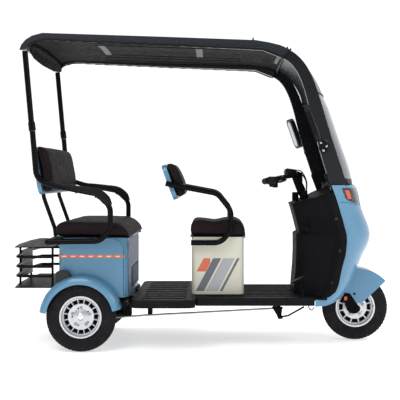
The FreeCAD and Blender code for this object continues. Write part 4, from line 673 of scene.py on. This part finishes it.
# handlebar furniture: switch pods, throttle drums, brake levers, display, lock, grip sleeves, stem
for side, label in leftRight:
    def across(x, y, z):
        return Vector((x, side * y, z))
    centre = across(383, 148, 899)
    for part, (low, high, edge) in {"Body": ((-15, -20, -17), (15, 20, 19), 7),
                                    "Chin": ((-11, -16, -42), (9, 14, -12), 6),
                                    "Rocker": ((-20, -12, -4), (-13, 12, 10), 2.5)}.items():
        brick(f"switchPod{part}{label}", centre + Vector(low), centre + Vector(high), "trimBlack", "steering",
              edge, turn=((0, 0, 1), side * 46), about=centre, segments=3)
    turned("throttleDrum" + label, [(0, 0), (18, 0), (20, 3), (20, 14), (17, 17), (0, 17)],
           across(374, 177, 894), across(0.19, -0.98, 0.04), "trimBlack", "steering", 32)
    perch = across(420, 122, 907)
    turned("leverPerch" + label, [(0, -12), (13, -12), (15, -9), (15, 9), (13, 12), (0, 12)], perch,
           (0.3, 0, 1), "trimBlack", "steering", 24)
    blade = smoothed([perch + across(6, 8, 4), across(438, 158, 903), across(432, 200, 897),
                      across(410, 246, 891), across(396, 276, 888)], 22)
    tube("brakeLever" + label, blade, [7, 7, 6.5] + [6] * 15 + [6.5, 7, 7, 5], "blackSatin", "steering", 10,
         flat=0.62)
    turned("leverPivot" + label, [(0, 0), (5, 0), (5, 3), (4, 4), (0, 4)], perch + Vector((4, 0, 12)),
           (0.3, 0, 1), "zinc", "steering", 16)
    knobs = ((-13, 0, 9), (-11, 5, -24))
    spin = Matrix.Rotation(math.radians(side * 46), 3, "Z")
    for number, place in enumerate(knobs):
        turned(f"switchKnob{label}{number}", [(0, 0), (5, 0), (5, 4), (4, 5), (0, 5)],
               centre + spin @ Vector(place), spin @ Vector((-1, 0, 0.1)),
               "lampRed" if number and side < 0 else "blackTube", "steering", 16)
brick("displayBody", (444, -55, 926), (509, 55, 958), "trimBlack", "steering", 10, turn=((0, 1, 0), 8),
      segments=4)
brick("displayFace", (452, -46, 957), (500, 46, 961), "lampDark", "steering", 1.5, turn=((0, 1, 0), 8),
      about=(476, 0, 942))
brick("lockBlock", (488, -24, 781), (522, 24, 830), "blackSatin", "steering", 5)
brick("leadClamp", (540, -22, 781), (573, 22, 840), "trimBlack", "steering", 5)
for side, label in rightLeft:
    near, far = Vector((367, side * 170, 893.8)), Vector((349, side * 278, 889))
    along = (far - near).normalized()
    long = (far - near).length
    profile = [(16.2, 0), (21, 0), (21, 5)]
    for k in range(9):
        start = 8 + (long - 22) * k / 9
        profile += [(18, start), (18.8, start + 1), (18.8, start + 6.5), (18, start + 7.5)]
    profile += [(18.6, long - 12), (19, long - 1), (17, long + 2), (0, long + 2)]
    turned("gripSleeve" + label, profile, near, along, "gripRubber", "steering", 32, crease=30)
rake = math.radians(23)
stemAxis = Vector((-math.sin(rake), 0, math.cos(rake)))
turned("stemSleeve", [(0, 0), (25, 0), (23, 60), (20, 104), (0, 104)], (540, 0, 838), stemAxis, "blackSatin",
       "steering", 36)
turned("stemCollar", [(0, 0), (24, 0), (26, 3), (26, 24), (22, 27), (22, 52), (25, 55), (25, 60), (0, 60)],
       (562, 0, 785), stemAxis, "blackSatin", "steering", 40)
print("bars")

# control leads from the perches down the neck
for number, (side, height) in enumerate(((1, 0), (-1, 10), (-1, -14))):
    route = [Vector((424, side * 122, 908 + height * 0.4)), Vector((452, side * 108, 926 + height)),
             Vector((492, side * 72, 946 + height * 0.6)), Vector((536, side * 40, 940 + height * 0.6)),
             Vector((566, side * 20, 895)), Vector((569, side * 12 + number * 4, 845)),
             Vector((566, side * 9 + number * 4, 806))]
    line = smoothed(route, 60)
    lead = tube(f"controlLead{number}", line, 3.0, "gripRubber", "steering", 10)

# mirror glass on the driver's side of each head: four quarter circles joined by straight stretches
mirror = {"flatY": 4, "flatZ": 54, "corner": 26, "centre": (535, 482, 1182), "turn": 12, "tip": -20}
quarter, part = np.divmod(np.arange(36), 9)
turn = np.pi / 2 * (quarter + part / 8)
for side, label in leftRight:
    aimed = (Matrix.Rotation(math.radians(side * mirror["turn"]), 4, "Z")
             @ Matrix.Rotation(math.radians(mirror["tip"]), 4, "Y"))
    x, y, z = mirror["centre"]
    centre = Vector((x, side * y, z))
    cornerY = np.array((1, -1, -1, 1))[quarter] * mirror["flatY"]
    cornerZ = np.array((1, 1, -1, -1))[quarter] * mirror["flatZ"]
    outline = np.stack([cornerY + mirror["corner"] * np.cos(turn), cornerZ + mirror["corner"] * np.sin(turn)],
                       axis=1)
    near, far = ([centre + aimed @ Vector((depth, y, z)) for y, z in outline] for depth in (-1.0, 0.5))
    prism("mirrorGlass" + label, near, far, "mirrorGlass")


# patches that follow a surface: a grid of rays, set off outward by a small lift
def patch(name, node, corners, direction, rows, cols, lift, finish):
    thick = 0.6
    a, b, c, d = (Vector(p) for p in corners)
    outer, inner = [], []
    last = hit(node, (a + b + c + d) / 4 + (b - a) * 0.05, direction)
    if last[0] is None:
        last = hit(node, (a * 0.3 + b * 0.2 + c * 0.2 + d * 0.3), direction)
    for i in range(rows + 1):
        for j in range(cols + 1):
            u, v = i / rows, j / cols
            start = (a * (1 - u) + b * u) * (1 - v) + (d * (1 - u) + c * u) * v
            place, normal = hit(node, start, direction)
            if place is None:
                place, normal = last
            if normal.dot(Vector(direction)) > 0:
                normal = -normal
            last = place, normal
            outer.append(place + normal * lift)
            inner.append(place + normal * (lift - thick))
    count = (rows + 1) * (cols + 1)
    faces = gridFaces(rows + 1, cols + 1, closeCols=False)
    faces += [[k + count for k in face][::-1] for face in faces]
    rim = ([(0, j) for j in range(cols)] + [(i, cols) for i in range(rows)]
           + [(rows, j) for j in range(cols, 0, -1)] + [(i, 0) for i in range(rows, 0, -1)])
    ids = [i * (cols + 1) + j for i, j in rim]
    faces += [(p, q, q + count, p + count) for p, q in zip(ids, ids[1:] + ids[:1])]
    return made(name, outer + inner, faces, finish)


def surfaceLine(name, node, points, direction, radius, finish, sink, count=40):
    # bead along the line where rays from the points meet the node, sunk a little into it
    line = []
    for point in smoothed(points, count):
        place, normal = hit(node, point, direction)
        if place is not None:
            line.append(place - normal * sink)
    return tube(name, line, radius, finish, sides=8)


def flank(side, outline):
    # (x, z) points set well outside the vehicle, as starts for rays towards its middle
    return [(x, side * 700, z) for x, z in outline]


# storage boxes: stripe with dashes, raised lip, front panel with its vent, a dark sheet as painted shade
# behind the vent ribs, slanted bars
rearHalf, driverHalf, film = 304.0, 180.0, 0.5
for side, label in rightLeft:
    y0, y1 = side * rearHalf, side * (rearHalf + film)
    slab("sideStripe" + label, [(-772, 488), (-428, 488), (-428, 504), (-772, 504)], y0, y1, "decalOrange")
    for k in range(7):
        x = -756 + k * 47
        slab(f"stripeDash{label}{k}", [(x, 493), (x + 24, 493), (x + 26, 499), (x + 2, 499)], y1,
             y1 + side * 0.35, "decalWhite")
    edge = rounded([(x, y0, z) for x, z in ((-772, 588), (-440, 588), (-411, 556), (-411, 290))], 34, 10)
    tube("panelLip" + label, edge, 2.4, "bluePaint", sides=10, flat=0.6)
front = hit("rear_box", (-200, 100, 500), (-1, 0, 0))[0].x
slab("frontPanel", [(-286, 300), (286, 300), (286, 560), (262, 584), (-262, 584), (-286, 560)], front,
     front + 0.6, "lilacShell", plane="YZ")
# dark sheet behind the vent ribs: painted shade of the vent's openings
slab("ventShade", [(-120, 306), (244, 306), (244, 422), (-120, 422)], front + 0.6, front + 1.4, "cowlShade",
     plane="YZ")
for k in range(12):
    y = -116 + k * 30.5
    brick(f"ventRib{k}", (front + 1, y, 308), (front + 5, y + 20, 420), "tealVent", edge=1.5)
for side, label in rightLeft:
    for part, finish, outline in (("", "decalSteel", [(-52, 296), (-8, 296), (86, 474), (42, 474)]),
                                  ("Pale", "decalSilver", [(2, 296), (66, 296), (160, 474), (96, 474)]),
                                  ("Orange", "decalOrange", [(-48, 402), (2, 402), (26, 448), (26, 474),
                                                             (-10, 474)]),
                                  ("Slim", "decalSteel", [(78, 296), (92, 296), (186, 474), (172, 474)])):
        slab(f"boxBand{part}{label}", outline, side * driverHalf, side * (driverHalf + film), finish)
print("graphics")

# canopy: ribs and grey strips under the liner, edge beads, pegs, joint to the visor, dark rear valance
for side, label in rightLeft:
    for number, y in enumerate((170, 250, 330)):
        surfaceLine(f"linerRib{label}{number}", "roof_liner", [(-600, side * y, 1200), (200, side * y, 1200)],
                    (0, 0, 1), 5, "cowlShade", 2)
    bead = []
    for x in np.linspace(-905, 425, 90):
        for z in np.arange(1500, 1660, 3):
            if hit("roof_shell", (x, side * 700, z), (0, -side, 0))[0] is not None:
                bead.append((x, side * 430, z + 3))
                break
    tube("fasciaBead" + label, smoothed(bead, 70), 6.5, "trimBlack", sides=10)
    for number, (x, rise) in enumerate(((250, 14), (428, 10))):
        place = hit("roof_shell", (x, side * 380, 2000), (0, 0, -1))[0]
        tube(f"canopyPeg{label}{number}", [place - Vector((0, 0, 3)), place + Vector((0, 0, rise))], [5, 3.5],
             "trimBlack", sides=12)
joint = []
for y in np.linspace(-399, 399, 61):
    place = hit("roof_shell", (424 if abs(y) < 372 else 409, y, 1200), (0, 0, 1))[0]
    if place is not None:
        joint.append((place.x + 3, y, place.z - 3))
tube("visorJoint", smoothed(joint, 60), 8, "trimBlack", sides=12)
for side, label in rightLeft:
    seam = [(x, side * y, z) for x, y, z in ((445, 398, 1577), (432, 402, 1562), (416, 403, 1543),
                                             (400, 403, 1524))]
    tube("visorSeam" + label, smoothed(seam, 12), 4.5, "trimBlack", sides=10)
for number, (x, wide, half) in enumerate(((-570, 18, 165), (-36, 18, 150), (408, 14, 130))):
    corners = [(x + a * wide, b * half, 1200) for a, b in ((-1, -1), (-1, 1), (1, 1), (1, -1))]
    patch(f"linerStrip{number}", "roof_liner", corners, (0, 0, 1), 24, 3, 1.6, "stripGrey")
rows = []
for y in np.linspace(-418, 418, 61):
    row = []
    for z in (1628, 1618, 1606, 1598, 1591):
        place, normal = hit("roof_shell", (-700, y, z), (-1, 0, 0))
        if place is not None:
            row.append(Vector((place.x + 2, y, z)))
    low = 1545 + 17 * (abs(y) / 420) ** 4
    end = row[-1]
    row += [Vector((end.x - 4, y, (end.z + low) / 2)), Vector((end.x - 6, y, low))]
    row = [row[0]] * (7 - len(row)) + row
    rows.append(row + [q + Vector((3, 0, 0)) for q in reversed(row)])
lofted("rearValance", rows, "roofLiner")

# screen: black gasket down the glass, trim inboard of each pillar, header along the top; edgeMarks are
# heights with the glass's half width there
edgeMarks = ((908, 346), (985, 353), (1100, 368), (1240, 383), (1350, 391))
for side, label in rightLeft:
    line = []
    for z, half in edgeMarks[::-1]:
        place = hit("windscreen", (-200, side * (half - 27), z), (1, 0, 0))[0]
        if place is not None:
            line.append(place - Vector((4, 0, 1)))
    tube("screenGasket" + label, smoothed(line, 40), 4.5, "trimBlack", sides=10)
    rows = []
    for z in np.linspace(925, 1345, 28):
        half = np.interp(z, *zip(*edgeMarks))
        edge = hit("windscreen", (-200, side * (half - 32), z), (1, 0, 0))[0]
        if edge is None:
            continue
        row = []
        for k in range(5):
            inboard = half - 32 - 13 * k
            glass = hit("windscreen", (-200, side * inboard, z), (1, 0, 0))[0]
            x = min(glass.x - 4 if glass is not None else edge.x, edge.x + 9) if k else edge.x - 4
            row.append(Vector((x, side * inboard, z)))
        rows.append(row + [q - Vector((2.5, 0, 0)) for q in reversed(row)])
    lofted("pillarTrim" + label, rows, "trimBlack")

header = []
for y in np.linspace(-358, 358, 41):
    for z in (1352, 1346, 1340, 1330):
        place, normal = hit("windscreen", (-200, y, z), (1, 0, 0))
        if place is not None:
            header.append((place.x - 3, y, 1355))
            break
tube("screenHeader", header, 8, "trimBlack", sides=10)

# pillar feet: inner plates, catches, lights, mirror bracket screws
for side, label in rightLeft:
    y0, y1 = sorted((side * 300, side * 312))
    outline = [(629, 925), (640, 940), (712, 940), (745, 880), (752, 870), (698, 849), (664, 834)]
    slab("pillarFoot" + label, outline, y0, y1, "trimBlack", edge=2)
    y0, y1 = sorted((side * 284, side * 289))
    outline = [(688, 846), (700, 878), (716, 880), (728, 893), (735, 887), (724, 862), (708, 848)]
    slab("catch" + label, outline, y0, y1, "decalSilver", edge=1)
    turned("footLight" + label, [(8, 0), (8, 2), (5, 3.5), (0, 4)], (700, side * 300, 876), (0, -side, 0),
           "lampRed", steps=24)
    y = hit("front_pillars", (618, side * 700, 1073), (0, -side, 0))[0].y
    ring = [(618 + 26 * math.cos(a), 1073 + 34 * math.sin(a)) for a in np.linspace(0, 2 * math.pi, 25)[:-1]]
    slab("mirrorPlate" + label, ring, *sorted((y - side, y + side * 4)), "trimBlack", edge=1.5)
    for number, (x, z) in enumerate(((604, 1093), (632, 1075), (617, 1052))):
        domeScrew(f"mirrorScrew{label}{number}", (x, y + side * 3.6, z), (0, side, 0), 6.5, 5, "chrome")

# cowl and shield: clips, pocket rim, lip and shade, sill filler, ignition lock, seams, turn strips, bowls
for side, label in rightLeft:
    inward = (0, -side, 0)
    for number, (x, z) in enumerate(((692, 694), (713, 525), (672, 353))):
        place, normal = hit("inner_cowl", (x, side * 700, z), inward)
        domeScrew(f"cowlClip{label}{number}", place - normal * 0.4, normal, 9, 4, "alloyDark")
    rim = [(526, 700), (600, 699), (641, 695), (674, 675), (686, 640), (688, 602)]
    surfaceLine("pocketRim" + label, "inner_cowl", flank(side, rim), inward, 3.2, "cowlPlastic", 0.8)
    surfaceLine("pocketLip" + label, "inner_cowl", flank(side, [(504, 598), (600, 598), (684, 598)]), inward,
                4.5, "cowlPlastic", 1)
    patch("pocketShade" + label, "inner_cowl", flank(side, [(530, 606), (676, 606), (664, 688), (532, 692)]),
          inward, 8, 14, 0.6, "cowlShade")
    y0, y1 = sorted((side * 190, side * 284))
    slab("sillFiller" + label, [(596, 262), (646, 262), (652, 296), (640, 286), (622, 273)], y0, y1,
         "cowlPlastic")
    if side < 0:
        spot = hit("inner_cowl", (556, side * 700, 634), inward)[0]
        aim = Vector((-0.6, side * 0.55, 0.58)).normalized()
        turned("keyBoss", [(0, 0), (17, 0), (17, 30), (14, 34), (0, 34)], spot - aim * 8, aim, "cowlPlastic",
               steps=32)
        turned("keySlot", [(9, 0), (9, 1.5), (0, 1.5)], spot + aim * 26, aim, "blackTube", steps=24)
    surfaceLine("shieldSeam" + label, "front_shield", flank(side, [(712, 783), (760, 779), (812, 764)]),
                inward, 1.3, "trimBlack", 0.5)
    patch("turnStrip" + label, "headlamps", flank(side, [(733, 846), (757, 846), (775, 800), (752, 800)]),
          inward, 4, 8, 0.5, "lampOrange")
    bowl = [(1200, side * y, z) for y, z in ((215, 842), (268, 846), (268, 776), (215, 776))]
    patch("lampBowl" + label, "headlamps", bowl, (-1, 0, 0), 10, 10, -7, "chrome")

# fork covers with axle caps, fender bolts, side reflectors, pivot bolts of the trailing arms
for side, label in rightLeft:
    y0, y1 = sorted((side * 80.4, side * 86.5))
    outline = [(769, 273), (800, 269), (822, 238), (838, 212), (852, 196), (856, 178), (845, 162), (825, 156),
               (800, 160), (784, 176), (777, 200), (761, 236)]
    slab("forkCover" + label, outline, y0, y1, "blackSatin", "steering", edge=2.5)
    turned("axleCap" + label, [(15, 0), (15, 5), (12, 8), (0, 9)], (839, side * 84, 183), (0, side, 0),
           "blackSatin", "steering", 28)
for side, label in rightLeft:
    domeScrew("fenderBolt" + label, (826, side * 81.2, 266), (0, side, 0), 7, 4, "trimBlack", "steering")
    brick("forkReflector" + label, (768, min(side * 86, side * 89), 232),
          (784, max(side * 86, side * 89), 252), "lampOrange", "steering", 1.2)
    hexBolt("pivotBolt" + label, (-418, side * 243, 188), (0, side, 0), 14, 8, "zinc")

# stand bracket, strut and lead hook under the floor
for side, label in rightLeft:
    y = side * 200
    slab("standBracket" + label, [(358, 214), (418, 214), (412, 172), (420, 150), (396, 145), (384, 171)],
         *sorted((y, y - side * 5)), "blackSatin", edge=1.5)
    tube("standStrut" + label, [(404, y, 158), (448, y, 166), (534, y, 214)], 5, "blackSatin", sides=12)
    tube("leadHook" + label, smoothed([(556, y, 226), (562, y, 204), (576, y, 196), (588, y, 212)], 14), 3,
         "blackSatin", sides=8)
    domeScrew("standBolt" + label, (404, y + side * 3, 156), (0, side, 0), 9, 5, "blackTube")

# basket bars: coated sleeves over the wires; frame seam down each side of the rear box
rear = boxOf("basket")[0][0]
for number, z in enumerate((392, 442, 493)):
    half = [(-806, 300), (-890, 300), (-962, 300)]
    half += [((1 - q) ** 2 * -962 + 2 * q * (1 - q) * -995 + q * q * -999,
              (1 - q) ** 2 * 300 + 2 * q * (1 - q) * 300 + q * q * 264.6) for q in (0.25, 0.5, 0.75, 1)]
    half += [(rear + 9, 140), (rear + 8.6, 110)]
    loop = [(x, y, z) for x, y in half] + [(x, -y, z) for x, y in reversed(half)]
    tube(f"basketBar{number}", loop, 8, "blackTube", sides=12, crease=60)
for side, label in rightLeft:
    seam = [(-431, 286), (-431, 380), (-431, 480), (-431, 535), (-437, 561), (-458, 579), (-502, 588),
            (-700, 590)]
    surfaceLine("frameSeam" + label, "rear_box", flank(side, seam), (0, -side, 0), 1.8, "tealVent", 0.7, 60)

# tail lamp lenses
for side, label in rightLeft:
    y = side * 335
    brick("tailLens" + label, (-779, y - 24, 380), (-774.5, y + 24, 418), "lampRed", edge=2)

# plate bolts on the panel
low, high = boxOf("plate_panel")
for side in (-1, 1):
    domeScrew(f"plateBolt{side + 1}", (low[0] + 0.3, side * 70, (low[2] + high[2]) / 2), (-1, 0, 0), 7, 4,
              "zinc")
print("fixings")

floor = made("studioFloor", [(-60000, -60000, 0), (60000, -60000, 0), (60000, 60000, 0), (-60000, 60000, 0)],
             [(0, 1, 2, 3)], "decalWhite")
floorLook = bpy.data.materials.new("studioFloor")
floorLook.use_nodes = True
floorShade = floorLook.node_tree.nodes["Principled BSDF"].inputs
for key, value in {"Base Color": (0.92, 0.92, 0.92, 1), "Roughness": 0.95, "Specular IOR Level": 0.05,
                   "Emission Color": (1, 1, 1, 1), "Emission Strength": 0.52}.items():
    floorShade[key].default_value = value
floor.data.materials[0] = floorLook
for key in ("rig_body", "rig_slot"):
    if key in floor:
        del floor[key]

# bright backdrop beyond the object, dim room on the near side, so dark parts keep dark reflections
world = bpy.data.worlds.new("studio")
world.use_nodes = True
tree = world.node_tree
background = tree.nodes["Background"].inputs
background["Color"].default_value = (1, 1, 1, 1)
axes = added(tree, "SeparateXYZ", tree.nodes.new("ShaderNodeTexCoord").outputs["Generated"], "Vector")
level = added(tree, "MapRange", axes.outputs["Y"], "Value", From_Min=-0.35, From_Max=0.45, To_Min=0.42,
              To_Max=1.08)
tree.links.new(level.outputs["Result"], background["Strength"])
scene.world = world


def lamp(name, place, target, size, power):
    # square area light aimed at target
    data = bpy.data.lights.new(name, "AREA")
    data.shape = "RECTANGLE"
    data.size = data.size_y = size
    data.energy = power
    obj = bpy.data.objects.new(name, data)
    obj.location = place
    obj.rotation_euler = (Vector(target) - Vector(place)).to_track_quat("-Z", "Y").to_euler()
    scene.collection.objects.link(obj)


lamp("softKey", (-1.6, -3.2, 4.2), (0, 0, 0.8), 2.4, 95)
lamp("softFill", (3.2, -2.6, 2.4), (0.3, 0, 0.8), 1.8, 40)
lamp("topStrip", (0, 0.4, 4.6), (0, 0, 1.0), 2.8, 60)

# camera fitted to the photo: its size, focal length and centre point are in the photo's pixels
photoFit = {"size": 400, "focal": 814, "centreX": 217, "centreY": 177}
camera = bpy.data.cameras.new("photoView")
camera.sensor_fit = "HORIZONTAL"
camera.sensor_width = 36
camera.lens = camera.sensor_width * photoFit["focal"] / photoFit["size"]
camera.shift_x = (photoFit["size"] / 2 - photoFit["centreX"]) / photoFit["size"]
camera.shift_y = (photoFit["centreY"] - photoFit["size"] / 2) / photoFit["size"]
camera.clip_end = 200
view = bpy.data.objects.new("photoView", camera)
view.location = (0.063, -4.6, 0.915)
view.rotation_euler = (math.radians(90), 0, 0)
scene.collection.objects.link(view)
scene.camera = view
scene.view_settings.view_transform = "Standard"

print("done")
